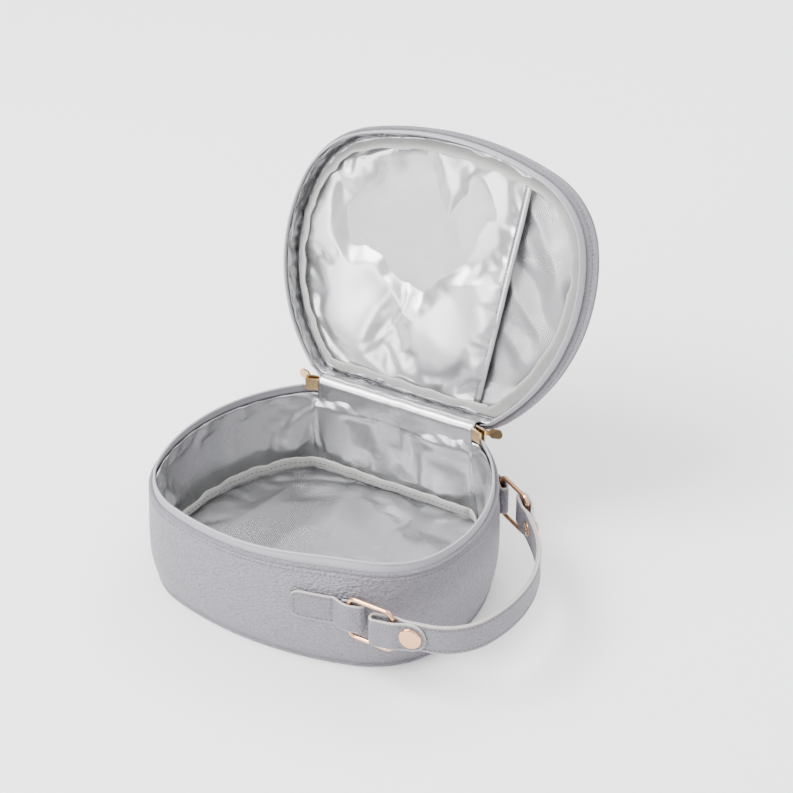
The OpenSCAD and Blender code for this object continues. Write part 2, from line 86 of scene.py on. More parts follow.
def outline_arcs():
    """Radii, turning points, start distances and start points of the four arcs of half the outline."""
    half_w, widest, past = CASE_W / 2, WIDEST_SHARE * CASE_D, SIDE_PAST_SHARE * CASE_D
    corner_turn = math.pi / 2 - 2 * math.atan((half_w - HINGE_HALF - CORNER_R) / (widest - CORNER_R))
    side_r = CORNER_R + (widest - CORNER_R) / math.cos(corner_turn)
    side_end = math.pi / 2 + math.asin(past / side_r)
    side_end_p = np.array([half_w - side_r * (1 - math.sin(side_end)), HALF_D - widest - past])
    shoulder_c = side_end_p - SHOULDER_R * outward(side_end)
    up = shoulder_c[1] + HALF_D
    front_r = (shoulder_c[0] ** 2 + up ** 2 - SHOULDER_R ** 2) / (2 * (up - SHOULDER_R))
    to_shoulder = shoulder_c - np.array([0, front_r - HALF_D])
    turns = np.array([0, corner_turn, side_end, math.atan2(to_shoulder[0], to_shoulder[1]), math.pi])
    radii = np.array([CORNER_R, side_r, SHOULDER_R, front_r])
    lengths = radii * np.diff(turns)
    starts = np.concatenate([[0], np.cumsum(lengths)])
    points = [np.array([HINGE_HALF, HALF_D])]
    for i in range(3):
        points.append(points[-1] + radii[i] * (outward(turns[i + 1]) - outward(turns[i])))
    side_mid = starts[1] + side_r * (math.pi / 2 - corner_turn)
    return radii, turns, starts, np.array(points), side_mid


RADII, TURNS, STARTS, START_POINTS, SIDE_MID = outline_arcs()
HALF_LENGTH = STARTS[4]
WALL_LENGTH = 2 * HALF_LENGTH
LOOP_LENGTH = WALL_LENGTH + 2 * HINGE_HALF


def wall(s):
    """Points and outward normals of the outer wall at distances s clockwise from the hinge edge's right end."""
    s = np.atleast_1d(np.asarray(s, float))
    far = s > HALF_LENGTH
    t = np.where(far, WALL_LENGTH - s, s)
    i = np.clip(np.searchsorted(STARTS, t, side="right") - 1, 0, 3)
    heading = np.where(t < 0, 0, TURNS[i] + (t - STARTS[i]) / RADII[i])
    p = START_POINTS[i] + RADII[i][:, None] * (outward(heading) - outward(TURNS[i]))
    p = np.where((t < 0)[:, None], np.stack([HINGE_HALF + t, HALF_D + 0 * t], -1), p)
    n = outward(heading)
    p[far, 0] *= -1
    n[far, 0] *= -1
    return p, n


def place(s, inset, z):
    """Points in millimetres: s, inset and z are arrays of one shape."""
    s, inset, z = np.broadcast_arrays(np.asarray(s, float), inset, z)
    p, n = wall(s.ravel())
    p = p - inset.ravel()[:, None] * n
    return np.concatenate([p, z.ravel()[:, None]], 1).reshape(s.shape + (3,))


def swing(points):
    """Points of a lid drawn as an upside-down shallow case, swung up about the hinge."""
    q = np.array(points, float) - [0, HALF_D, ZIP_Z]
    q[..., 2] *= -1
    c, s = math.cos(-OPEN_ANGLE), math.sin(-OPEN_ANGLE)
    y, z = q[..., 1] * c - q[..., 2] * s, q[..., 1] * s + q[..., 2] * c
    return np.stack([q[..., 0], y + HALF_D, z + ZIP_Z], -1)


def smooth_noise(x, y, size, seed):
    """Smooth noise from -1 to 1 with bumps about size across."""
    return noise.noise(Vector((x / size + 17.3 * seed, y / size - 5.1 * seed, 3.7 * seed)))


def off_centre(x, y, half):
    """0 at the middle of a floor, rising to 1 at its edge. half holds its half width and half depth."""
    return min(1, math.hypot(x / half[0], y / half[1]))


def sides_of(path):
    """Unit vectors square to a level line, on its right."""
    tangent = np.gradient(path, axis=0)
    tangent /= np.linalg.norm(tangent, axis=1, keepdims=True)
    return np.stack([tangent[:, 1], -tangent[:, 0]], -1)


def seam_line(marks, at, lid):
    """A seam's line along the wall: at(s) gives its (inset, z). A lid's is swung up."""
    line = np.array([place(s, *at(s)) for s in marks])
    return swing(line) if lid else line


def crease(x, y, size, seed):
    """Ridged noise from 0 to 1, sharp along its creases, as in a crumpled film."""
    return 1 - abs(smooth_noise(x, y, size, seed)) * 2


# ---- Meshes --------------------------------------------------------------------------------------------
def put(name, points, faces, uvs=None, materials=(), recalc=True):
    """A smooth mesh from points in millimetres; uvs holds a place in metres for each vertex."""
    mesh = bpy.data.meshes.new(name)
    mesh.from_pydata((np.asarray(points, float).reshape(-1, 3) * MM).tolist(), [], faces)
    if uvs is not None:
        layer = mesh.uv_layers.new(name="Cloth")
        index = np.zeros(len(mesh.loops), np.int32)
        mesh.loops.foreach_get("vertex_index", index)
        layer.data.foreach_set("uv", np.asarray(uvs, np.float32)[index].ravel())
    for m in materials:
        mesh.materials.append(m)
    mesh.polygons.foreach_set("use_smooth", [True] * len(mesh.polygons))
    obj = bpy.data.objects.new(name, mesh)
    bpy.context.scene.collection.objects.link(obj)
    if recalc:
        face_outwards(obj)
    return obj


def face_outwards(obj):
    bm = bmesh.new()
    bm.from_mesh(obj.data)
    bmesh.ops.recalc_face_normals(bm, faces=bm.faces)
    bm.to_mesh(obj.data)
    bm.free()
    obj.data.update()


def grid_faces(rows, columns, wrap_rows=False, wrap_columns=False):
    faces = []
    for i in range(rows if wrap_rows else rows - 1):
        for j in range(columns if wrap_columns else columns - 1):
            a, b = i * columns + j, i * columns + (j + 1) % columns
            c = ((i + 1) % rows) * columns + (j + 1) % columns
            faces.append((a, b, c, ((i + 1) % rows) * columns + j))
    return faces


def sweep(name, marks, section, materials, closed=False, lid=False):
    """A closed profile of (inset, z) points, section(s), carried along the wall. Ends are capped."""
    profiles = np.array([section(s) for s in marks], float)
    rows, columns = profiles.shape[:2]
    points = place(np.repeat(np.asarray(marks)[:, None], columns, 1), profiles[..., 0], profiles[..., 1])
    if lid:
        points = swing(points)
    faces = grid_faces(rows, columns, wrap_rows=closed, wrap_columns=True)
    if not closed:
        faces += [tuple(range(columns)), tuple(reversed([(rows - 1) * columns + j for j in range(columns)]))]
    steps = np.linalg.norm(np.diff(profiles, axis=1), axis=2)
    across = np.concatenate([np.zeros((rows, 1)), np.cumsum(steps, 1)], 1)
    along = np.repeat(np.asarray(marks)[:, None], columns, 1)
    uvs = np.stack([along, across], -1).reshape(-1, 2) * MM
    return put(name, points, faces, uvs, materials)


def tube_profile(inset, z, r, sides=12):
    return [(inset + r * math.cos(2 * math.pi * k / sides), z + r * math.sin(2 * math.pi * k / sides))
            for k in range(sides)]


def wall_sheet(name, marks, columns, place_at, materials, closed=False, lid=False):
    """An open sheet along the wall: place_at(s, share) gives (inset, z) with share from 0 to 1 upwards."""
    shares = np.linspace(0, 1, columns)
    profiles = np.array([[place_at(s, share) for share in shares] for s in marks], float)
    points = place(np.repeat(np.asarray(marks)[:, None], columns, 1), profiles[..., 0], profiles[..., 1])
    if lid:
        points = swing(points)
    faces = grid_faces(len(marks), columns, wrap_rows=closed)
    along = np.repeat(np.asarray(marks)[:, None], columns, 1)
    uvs = np.stack([along, profiles[..., 1]], -1).reshape(-1, 2) * MM
    return put(name, points, faces, uvs, materials, recalc=False)


def loop_marks(step):
    return np.linspace(0, LOOP_LENGTH, round(LOOP_LENGTH / step), endpoint=False)


def curve_marks(step, start):
    return np.linspace(start, WALL_LENGTH - start, round((WALL_LENGTH - 2 * start) / step))


def clipped_sheet(name, inset, height, step, materials, lid=False, cut_x=None):
    """A floor sheet of even small squares, cut to the outline at an inset. height(x, y) gives z, and
    cut_x(y) is where its right-hand edge is cut off."""
    border = place(loop_marks(2), inset, 0)[:, :2]
    nxt = np.roll(border, -1, 0)

    def inside(p):
        x, y = p[:, 0:1], p[:, 1:2]
        crosses = (border[:, 1] > y) != (nxt[:, 1] > y)
        rise = np.where(nxt[:, 1] == border[:, 1], 1e-9, nxt[:, 1] - border[:, 1])
        at = border[:, 0] + (y - border[:, 1]) / rise * (nxt[:, 0] - border[:, 0])
        return (np.sum(crosses & (x < at), 1) % 2) == 1

    xs = np.arange(-CASE_W / 2, CASE_W / 2 + step, step)
    ys = np.arange(-CASE_D / 2, CASE_D / 2 + step, step)
    grid = np.stack(np.meshgrid(xs, ys, indexing="ij"), -1).reshape(-1, 2)
    within = inside(grid)
    cut = np.array([cut_x(y) for y in grid[:, 1]]) if cut_x else np.full(len(grid), 1e3)
    in_outline = within.copy()
    within &= grid[:, 0] < cut
    columns = len(ys)
    faces = [f for f in grid_faces(len(xs), columns) if within[list(f)].sum() >= 1]
    used = sorted({v for f in faces for v in f})
    number = {v: k for k, v in enumerate(used)}
    flat = grid[used]
    for k, v in enumerate(used):
        if not in_outline[v]:
            flat[k] = border[np.argmin(np.sum((border - grid[v]) ** 2, 1))]
        flat[k, 0] = min(flat[k, 0], cut[v])
    faces = [tuple(number[v] for v in f) for f in faces]
    points = np.array([[x, y, height(x, y)] for x, y in flat])
    obj = put(name, swing(points) if lid else points, faces, flat * MM, materials, recalc=False)
    bm = bmesh.new()
    bm.from_mesh(obj.data)
    bmesh.ops.dissolve_degenerate(bm, edges=bm.edges, dist=1e-6)
    bm.to_mesh(obj.data)
    bm.free()
    return obj


def edge_vertices(obj):
    bm = bmesh.new()
    bm.from_mesh(obj.data)
    found = [v.index for v in bm.verts if any(e.is_boundary for e in v.link_edges)]
    bm.free()
    return found


def as_plain_mesh(obj):
    """Applies every modifier by taking the evaluated mesh."""
    depsgraph = bpy.context.evaluated_depsgraph_get()
    mesh = bpy.data.meshes.new_from_object(obj.evaluated_get(depsgraph), depsgraph=depsgraph)
    obj.modifiers.clear()
    obj.data = mesh


def thicken(obj, thickness_mm, subdivide=0):
    """Gives a sheet its thickness, and smooths it if asked."""
    if subdivide:
        smooth = obj.modifiers.new("Smooth", "SUBSURF")
        smooth.levels = smooth.render_levels = subdivide
    solid = obj.modifiers.new("Thickness", "SOLIDIFY")
    solid.thickness = thickness_mm * MM
    solid.offset = 0.0
    as_plain_mesh(obj)
    face_outwards(obj)
    obj.data.polygons.foreach_set("use_smooth", [True] * len(obj.data.polygons))


CLOTH_FRAMES = 16


def settle_cloth(obj, swell, cap_mm):
    """Lets a sheet that is cut too large by a share, swell, buckle inside its sewn edge, by cap_mm at most."""
    rest = np.array([v.co for v in obj.data.vertices])
    group = obj.vertex_groups.new(name="Sewn")
    group.add(edge_vertices(obj), 1.0, "REPLACE")
    cloth = obj.modifiers.new("Cloth", "CLOTH")
    settings = cloth.settings
    settings.quality = 5
    settings.mass = 0.12
    settings.tension_stiffness = settings.compression_stiffness = 12
    settings.shear_stiffness = 4
    settings.bending_stiffness = 0.02
    settings.shrink_min = -swell
    settings.vertex_group_mass = "Sewn"
    settings.effector_weights.gravity = 0
    cloth.collision_settings.use_collision = False
    scene = bpy.context.scene
    for number in range(1, CLOTH_FRAMES + 1):
        scene.frame_set(number)
    depsgraph = bpy.context.evaluated_depsgraph_get()
    settled = obj.evaluated_get(depsgraph).to_mesh()
    moved = np.array([v.co for v in settled.vertices]) - rest
    obj.evaluated_get(depsgraph).to_mesh_clear()
    obj.modifiers.clear()
    scene.frame_set(1)
    length = np.linalg.norm(moved, axis=1, keepdims=True)
    moved *= np.minimum(1, cap_mm * MM / np.maximum(length, 1e-9))
    if np.isfinite(moved).all():
        obj.data.vertices.foreach_set("co", (rest + moved).ravel())
    obj.vertex_groups.clear()
    obj.data.update()


def smooth_line(points, step):
    """A line through points with no corners, in even steps."""
    p = np.asarray(points, float)
    q = np.concatenate([[2 * p[0] - p[1]], p, [2 * p[-1] - p[-2]]])
    fine = []
    for i in range(1, len(q) - 2):
        t = np.linspace(0, 1, 12, endpoint=False)[:, None]
        a, b, c, d = q[i - 1], q[i], q[i + 1], q[i + 2]
        square, cube = 2 * a - 5 * b + 4 * c - d, 3 * b - a - 3 * c + d
        fine.append(0.5 * (2 * b + (c - a) * t + square * t ** 2 + cube * t ** 3))
    fine = np.concatenate(fine + [p[-1:]])
    run = np.concatenate([[0], np.cumsum(np.linalg.norm(np.diff(fine, axis=0), axis=1))])
    marks = np.linspace(0, run[-1], max(2, round(run[-1] / step) + 1))
    return np.stack([np.interp(marks, run, fine[:, k]) for k in range(fine.shape[1])], -1), marks


def ribbon(name, line, half_height, thickness, z_mid):
    """A strap along a level line: half_height(mark) is half its width, and its edges are painted beads."""
    path, marks = line
    side = sides_of(path)
    t, bead = thickness / 2, thickness / 2
    across = np.linspace(-1, 1, 7)
    profile = [(t, a, 0) for a in across]
    profile += [(t * math.cos(a), 1, bead * math.sin(a)) for a in np.linspace(0, math.pi, 7)[1:-1]]
    profile += [(-t, -a, 0) for a in across]
    profile += [(-t * math.cos(a), -1, -bead * math.sin(a)) for a in np.linspace(0, math.pi, 7)[1:-1]]
    points, uvs = [], []
    for i, p in enumerate(path):
        h = max(half_height(marks[i]) - bead, 0.05)
        for out, up, extra in profile:
            xy = p + side[i] * out
            points.append((xy[0], xy[1], z_mid + up * h + extra))
            uvs.append((marks[i] * MM, (up * h + extra) * MM))
    columns = len(profile)
    faces = grid_faces(len(path), columns, wrap_columns=True)
    faces += [tuple(range(columns)), tuple(reversed([(len(path) - 1) * columns + j for j in range(columns)]))]
    obj = put(name, points, faces, uvs, [MATERIALS["strap"], MATERIALS["edge"]])
    n = len(across)
    for face, polygon in zip(faces, obj.data.polygons):
        j = face[0] % columns
        end_cap = len(face) > 4
        on_edge = n - 1 <= j < n + 5 or j >= 2 * n + 4
        polygon.material_index = 1 if end_cap or on_edge else 0
    return obj


def round_end(total, radius, half, both=True):
    """Half widths of a strap with quarter-round corners of a radius at its start, or at both ends."""
    def at(mark):
        h = half
        for d in (mark, total - mark) if both else (mark,):
            if d < radius:
                h = min(h, half - radius + math.sqrt(max(radius ** 2 - (radius - d) ** 2, 0)))
        return h
    return at


# ---- Materials -----------------------------------------------------------------------------------------
def hex_linear(text):
    """An sRGB hex colour as linear red, green and blue."""
    values = [int(text[i:i + 2], 16) / 255 for i in (1, 3, 5)]
    return [v / 12.92 if v <= 0.04045 else ((v + 0.055) / 1.055) ** 2.4 for v in values]


def add_node(tree, kind, links=None, **settings):
    """Adds a node. settings are its properties, or its inputs by name or number; links go to its inputs."""
    node = tree.nodes.new(kind)
    for key, value in settings.items():
        if hasattr(node, key) and key not in node.inputs:
            setattr(node, key, value)
        else:
            node.inputs[int(key[1:]) if key[0] == "_" else key.replace("_", " ")].default_value = value
    for key, socket in (links or {}).items():
        tree.links.new(socket, node.inputs[key])
    return node


def new_material(name, colour, **shader):
    material = bpy.data.materials.new(name)
    material.use_nodes = True
    tree = material.node_tree
    tree.nodes.clear()
    surface = add_node(tree, "ShaderNodeBsdfPrincipled")
    surface.inputs["Base Color"].default_value = (*colour, 1)
    for key, value in shader.items():
        surface.inputs[key.replace("_", " ")].default_value = value
    add_node(tree, "ShaderNodeOutputMaterial", {"Surface": surface.outputs[0]})
    return material, tree, surface


def tint(tree, colour, factor, low, high):
    """The colour, darkened to low and lightened to high by a factor from 0 to 1."""
    ramp = add_node(tree, "ShaderNodeValToRGB", {"Fac": factor})
    ramp.color_ramp.elements[0].color = (*[c * low for c in colour], 1)
    ramp.color_ramp.elements[1].color = (*[min(c * high, 1) for c in colour], 1)
    return ramp.outputs["Color"]


def pebbled_leather(colour, name="Pebbled PU leather", cell_mm=2.0, depth_mm=1.3):
    """Polyurethane-coated leathercloth, embossed with a pebble grain: soft low gloss, with painted shade
    darkening the creases and painted light on the pebble tops.
    """
    m, t, s = new_material(name, colour, Roughness=0.5, IOR=1.46)
    where = add_node(t, "ShaderNodeTexCoord").outputs["Object"]
    bend = add_node(t, "ShaderNodeTexNoise", {"Vector": where}, Scale=160.0, Detail=2.0)
    # Pebbles wander a little off their cells
    offset = add_node(t, "ShaderNodeVectorMath", {0: bend.outputs["Color"]}, operation="SCALE", Scale=0.0016)
    moved = add_node(t, "ShaderNodeVectorMath", {0: where, 1: offset.outputs[0]}, operation="ADD")
    flat = add_node(t, "ShaderNodeMapping", {"Vector": moved.outputs[0]}, Scale=(0.8, 0.8, 1.25))
    grain = add_node(t, "ShaderNodeTexVoronoi", {"Vector": flat.outputs[0]}, Scale=1000 / cell_mm,
                     feature="SMOOTH_F1", Smoothness=0.2, Randomness=1.0)
    broad = add_node(t, "ShaderNodeTexNoise", {"Vector": where}, Scale=60.0, Detail=4.0)
    soft = add_node(t, "ShaderNodeMath", {0: broad.outputs["Fac"]}, operation="MULTIPLY", _1=0.3)
    total = add_node(t, "ShaderNodeMath", {0: soft.outputs[0], 1: grain.outputs["Distance"]},
                     operation="SUBTRACT")
    bump = add_node(t, "ShaderNodeBump", {"Height": total.outputs[0]}, Strength=0.9, Distance=depth_mm * MM)
    t.links.new(bump.outputs[0], s.inputs["Normal"])
    # Painted shade and light: the colour falls to 0.8 in the creases between pebbles and rises to 1.08 on their
    # tops
    t.links.new(tint(t, colour, grain.outputs["Distance"], 1.08, 0.8), s.inputs["Base Color"])
    rough = add_node(t, "ShaderNodeMapRange", {"Value": broad.outputs["Fac"]}, To_Min=0.4, To_Max=0.56)
    t.links.new(rough.outputs[0], s.inputs["Roughness"])
    return m


SCRIM_PITCH = 0.0013     # between the scrim's threads, in metres


def foil_film(colour, name, weave, rough):
    """Aluminised film laminated to a woven scrim: bright, soft-edged reflections and a fine square weave."""
    m, t, s = new_material(name, colour, Metallic=0.9, Roughness=rough, Coat_Weight=0.2, Coat_Roughness=0.12)
    cloth = add_node(t, "ShaderNodeUVMap")
    turned = add_node(t, "ShaderNodeMapping", {"Vector": cloth.outputs[0]}, Rotation=(0, 0, math.radians(40)))
    bands = [add_node(t, "ShaderNodeTexWave", {"Vector": turned.outputs[0]}, bands_direction=d,
                      Scale=2 * math.pi / 20 / SCRIM_PITCH) for d in ("X", "Y")]
    weft = add_node(t, "ShaderNodeMath", {0: bands[0].outputs["Fac"], 1: bands[1].outputs["Fac"]},
                    operation="MULTIPLY")
    where = add_node(t, "ShaderNodeTexCoord").outputs["Object"]
    haze = add_node(t, "ShaderNodeTexNoise", {"Vector": where}, Scale=26.0, Detail=2.0, Roughness=0.5)
    bump = add_node(t, "ShaderNodeBump", {"Height": weft.outputs[0]}, Strength=weave, Distance=0.00025)
    t.links.new(bump.outputs[0], s.inputs["Normal"])
    ranged = add_node(t, "ShaderNodeMapRange", {"Value": haze.outputs["Fac"]},
                      To_Min=rough - 0.07, To_Max=rough + 0.1)
    t.links.new(ranged.outputs[0], s.inputs["Roughness"])
    t.links.new(tint(t, colour, weft.outputs[0], 1.04 - 0.22 * weave, 1.04), s.inputs["Base Color"])
    return m


def woven_tape(colour, name, thread_mm, rough=0.75):
    """Woven polyester tape: matt, with fine crossing threads and a little nap."""
    m, t, s = new_material(name, colour, Roughness=rough, Sheen_Weight=0.25, Sheen_Roughness=0.4)
    cloth = add_node(t, "ShaderNodeUVMap").outputs[0]
    warp, weft = [add_node(t, "ShaderNodeTexWave", {"Vector": cloth}, bands_direction=d,
                           Scale=2 * math.pi / 20 / (thread_mm * MM)) for d in ("X", "Y")]
    woven = add_node(t, "ShaderNodeMath", {0: warp.outputs["Fac"], 1: weft.outputs["Fac"]}, operation="ADD")
    fuzz = add_node(t, "ShaderNodeTexNoise", {"Vector": add_node(t, "ShaderNodeTexCoord").outputs["Object"]},
                    Scale=900.0, Detail=3.0)
    height = add_node(t, "ShaderNodeMath", {0: woven.outputs[0], 1: fuzz.outputs["Fac"]}, operation="ADD")
    bump = add_node(t, "ShaderNodeBump", {"Height": height.outputs[0]}, Strength=0.5, Distance=0.0002)
    t.links.new(bump.outputs[0], s.inputs["Normal"])
    t.links.new(tint(t, colour, fuzz.outputs["Fac"], 0.88, 1.08), s.inputs["Base Color"])
    return m


def smooth_finish(colour, name, rough, scale, depth_mm, **shader):
    """A plain finish with slight unevenness: paint, nylon, thread or plating, as its name says."""
    m, t, s = new_material(name, colour, **shader)
    where = add_node(t, "ShaderNodeTexCoord").outputs["Object"]
    wear = add_node(t, "ShaderNodeTexNoise", {"Vector": where}, Scale=scale, Detail=4.0)
    ranged = add_node(t, "ShaderNodeMapRange", {"Value": wear.outputs["Fac"]},
                      To_Min=rough * 0.8, To_Max=rough * 1.25)
    t.links.new(ranged.outputs[0], s.inputs["Roughness"])
    bump = add_node(t, "ShaderNodeBump", {"Height": wear.outputs["Fac"]}, Strength=0.3, Distance=depth_mm * MM)
    t.links.new(bump.outputs[0], s.inputs["Normal"])
    t.links.new(tint(t, colour, wear.outputs["Fac"], 0.94, 1.05), s.inputs["Base Color"])
    return m


MATERIALS = {}


def make_materials():
    look = bpy.context.scene.bag_finishes
    leather, foil, tape, binding, thread, edge, metal = [
        list(v) for v in (look.leather, look.foil, look.tape, look.binding, look.thread, look.edge, look.metal)]
    MATERIALS.update(
        leather=pebbled_leather(leather),
        strap=pebbled_leather(leather, "Pebbled PU strap leather", 1.2),
        # Smooth side of the lining, with the scrim just showing through
        foil=foil_film(foil, "Aluminised film lining", 0.25, 0.24),
        # Bare lining of the lid and the floor, where the scrim's squares show strongly. Its colour is the
        # foil's darkened to 0.8, as painted shade for the recessed lid and floor.
        foil_scrim=foil_film([c * 0.8 for c in foil], "Aluminised film on open scrim, darkened as painted shade", 0.9, 0.26),
        tape=woven_tape(tape, "Woven zip tape", 0.7),
        binding=woven_tape(binding, "Woven binding tape", 0.9, 0.8),
        # Spun polyester, slightly darker than the leather
        thread=smooth_finish(thread, "Polyester sewing thread", 0.7, 4000.0, 0.1, Roughness=0.7),
        # Acrylic edge paint that rounds the cut leather
        edge=smooth_finish(edge, "Painted leather edge", 0.4, 700.0, 0.1, Roughness=0.4),
        # Folded leathercloth strip over a cord
        piping=pebbled_leather([c * 1.06 for c in leather], "Smooth leathercloth piping", 0.9),
        # Drawn nylon monofilament coil
        coil=smooth_finish(tape, "Nylon zip coil", 0.38, 1200.0, 0.05, Roughness=0.38),
        # Rose-gold plated zinc: sharp reflections
        metal=smooth_finish(metal, "Rose-gold plating", 0.12, 300.0, 0.01, Metallic=1.0, Roughness=0.12),
        # Pale gold plating of the zip's slider
        slider=smooth_finish(hex_linear("#CBAC80"), "Light gold plating", 0.2, 300.0, 0.01, Metallic=1.0,
                             Roughness=0.2),
    )


# ---- Geometry Nodes: what repeats along a seam ---------------------------------------------------------
def seam_tree(name, follow):
    """Puts one small rounded piece every pitch along a line. follow turns each piece along the line."""
    tree = bpy.data.node_groups.new(name, "GeometryNodeTree")
    face = tree.interface
    face.new_socket("Geometry", in_out="INPUT", socket_type="NodeSocketGeometry")
    face.new_socket("Pitch", in_out="INPUT", socket_type="NodeSocketFloat")
    face.new_socket("Piece size", in_out="INPUT", socket_type="NodeSocketVector")
    face.new_socket("Finish", in_out="INPUT", socket_type="NodeSocketMaterial")
    face.new_socket("Geometry", in_out="OUTPUT", socket_type="NodeSocketGeometry")
    given = add_node(tree, "NodeGroupInput").outputs
    line = add_node(tree, "GeometryNodeMeshToCurve", {"Mesh": given["Geometry"]})
    spots = add_node(tree, "GeometryNodeCurveToPoints", {"Curve": line.outputs[0], "Length": given["Pitch"]},
                     mode="LENGTH")
    bead = add_node(tree, "GeometryNodeMeshUVSphere", Segments=6, Rings=5, Radius=1.0)
    shaded = add_node(tree, "GeometryNodeSetShadeSmooth", {"Geometry": bead.outputs["Mesh"]})
    links = {"Points": spots.outputs["Points"], "Instance": shaded.outputs[0], "Scale": given["Piece size"]}
    if follow:
        turned = add_node(tree, "FunctionNodeAlignRotationToVector", {"Vector": spots.outputs["Tangent"]},
                          axis="Z")
        links["Rotation"] = turned.outputs[0]
    placed = add_node(tree, "GeometryNodeInstanceOnPoints", links)
    real = add_node(tree, "GeometryNodeRealizeInstances", {"Geometry": placed.outputs[0]})
    done = add_node(tree, "GeometryNodeSetMaterial", {"Geometry": real.outputs[0], "Material": given["Finish"]})
    add_node(tree, "NodeGroupOutput", {"Geometry": done.outputs[0]})
    return tree


def along_lines(name, lines, follow, pitch, size, material):
    """Runs a seam tree over lines of points in millimetres and returns a plain mesh."""
    key = "Stitch run" if follow else "Zip teeth"
    tree = bpy.data.node_groups.get(key) or seam_tree(key, follow)
    sockets = {i.name: i.identifier for i in tree.interface.items_tree if i.in_out == "INPUT"}
    mesh = bpy.data.meshes.new(name)
    points = [tuple(np.asarray(p) * MM) for line in lines for p in line]
    edges, start = [], 0
    for line in lines:
        edges += [(start + i, start + i + 1) for i in range(len(line) - 1)]
        start += len(line)
    mesh.from_pydata(points, edges, [])
    obj = bpy.data.objects.new(name, mesh)
    bpy.context.scene.collection.objects.link(obj)
    run = obj.modifiers.new("Seam", "NODES")
    run.node_group = tree
    run[sockets["Pitch"]] = pitch * MM
    run[sockets["Piece size"]] = [v * MM for v in size]
    run[sockets["Finish"]] = material
    as_plain_mesh(obj)
    return obj


def stitches(name, lines, body, pitch=None):
    """Stitches along lines of points in millimetres, at the bag's own pitch unless one is given."""
    sizes = bpy.context.scene.bag_sizes
    radius, long = sizes.thread_radius / MM, sizes.stitch_length / MM
    obj = along_lines(name, lines, True, pitch or sizes.stitch_pitch / MM, (radius, radius, long / 2),
                      MATERIALS["thread"])
    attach(obj, body)


# ---- How the soft walls ease from the CAD's upright ones -----------------------------------------------
LEAN_AT, LEAN_SPREAD = 222.0, 52.0


def eased(s, inset, z):
    """The body's wall: its foot is drawn in, its middle swells and its front right rim leans inwards."""
    sizes = bpy.context.scene.bag_sizes
    share = min(max(z / WALL_TOP, 0), 1.17)
    foot = sizes.foot_tuck / MM * max(0, 1 - z / 24) ** 2
    swell = sizes.wall_bulge / MM * math.sin(math.pi * min(share, 1))
    lean = sizes.rim_lean / MM * math.exp(-((s - LEAN_AT) / LEAN_SPREAD) ** 2) * share ** 3
    lift = 2.0 * math.exp(-((s - LEAN_AT) / LEAN_SPREAD) ** 2) * share ** 3
    return inset + foot - swell + lean, z + lift


def eased_lid(s, inset, z):
    """The lid's narrow wall: rounded in a little at its top edge."""
    depth = min(max((z - LID_FLOOR) / (WALL_TOP - LID_FLOOR), 0), 1)
    return inset + 1.6 * (1 - depth) ** 2 - 0.5 * math.sin(math.pi * depth), z


def case_walls(lid):
    """How the wall eases, its floor, its leather's top and its body."""
    return (eased_lid, LID_FLOOR, WALL_TOP, "lid") if lid else (eased, 0.0, BODY_TOP, "body")


def leather_wall(lid):
    """Outer wall with its turned-in top edge, and the stitches under the rim's piping."""
    ease, floor, top, body = case_walls(lid)
    levels = np.linspace(floor + 2.2, top, 9 if lid else 22)

    def section(s):
        ripple = [0.35 * smooth_noise(s, z, 38, 2 + lid) * math.sin(math.pi * (z - floor) / (top - floor))
                  for z in levels]
        outer = [ease(s, -r, z) for z, r in zip(levels, ripple)]
        inner = [ease(s, 1.2 - r, z) for z, r in zip(levels, ripple)]
        turned_in = [ease(s, 0.35, top + 0.35), ease(s, 0.85, top + 0.35)]
        return outer + turned_in + inner[::-1]

    obj = sweep(f"{body}_leather_wall", loop_marks(2.5), section, [MATERIALS["leather"]], closed=True, lid=lid)
    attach(obj, body)
    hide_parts(*(("lid_wall", "lid_wall_foam") if lid else ("body_wall", "body_foam")))
    # A row of stitches just under the rim piping
    line = seam_line(curve_marks(3, 3), lambda s: ease(s, -0.12, top - 1.9), lid)
    stitches(f"{body}_rim_stitching", [line], body)


def outer_panel(lid):
    """The base or the lid's top: leather over board and foam, slightly crowned."""
    ease, floor, _, body = case_walls(lid)
    rim = ease(0, 2.6, floor + 0.5)[0]
    crown = 1.2 if lid else 0.0
    clearance = 0.35 if lid else 0.5

    def height(x, y):
        r = off_centre(x, y, PANEL_HALF)
        return floor - crown * (1 - r * r) + clearance + 0.12 * smooth_noise(x, y, 30, 5)

    obj = clipped_sheet(f"{body}_outer_panel", rim - 0.3, height, 4, [MATERIALS["leather"]], lid=lid)
    thicken(obj, 1.2 if lid else 0.6)
    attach(obj, body)
    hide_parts(*(("lid_panel", "lid_board") if lid else ("base_panel", "base_board")))


def pipings(lid):
    """Piping round the floor's edge and along the rim."""
    ease, floor, top, body = case_walls(lid)

    def edge(s):
        wobble = 0.08 * smooth_noise(s, 0, 9, 4)
        inset, _ = ease(s, 0.9, floor + EDGE_PIPING_R)
        return tube_profile(inset + wobble, floor + EDGE_PIPING_R, EDGE_PIPING_R)

    def rim(s):
        inset, z = ease(s, 1.4, top + 1.35)
        return tube_profile(inset + 0.08 * smooth_noise(s, 2, 9, 7), z, RIM_PIPING_R)

    base = sweep(f"{body}_edge_piping", loop_marks(2.5), edge, [MATERIALS["piping"]], closed=True, lid=lid)
    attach(base, body)
    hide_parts("lid_piping" if lid else "base_piping")
    cord = sweep(f"{body}_rim_piping", curve_marks(2.5, 1), rim, [MATERIALS["piping"]], lid=lid)
    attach(cord, body)
    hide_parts(f"{body}_rim_piping")


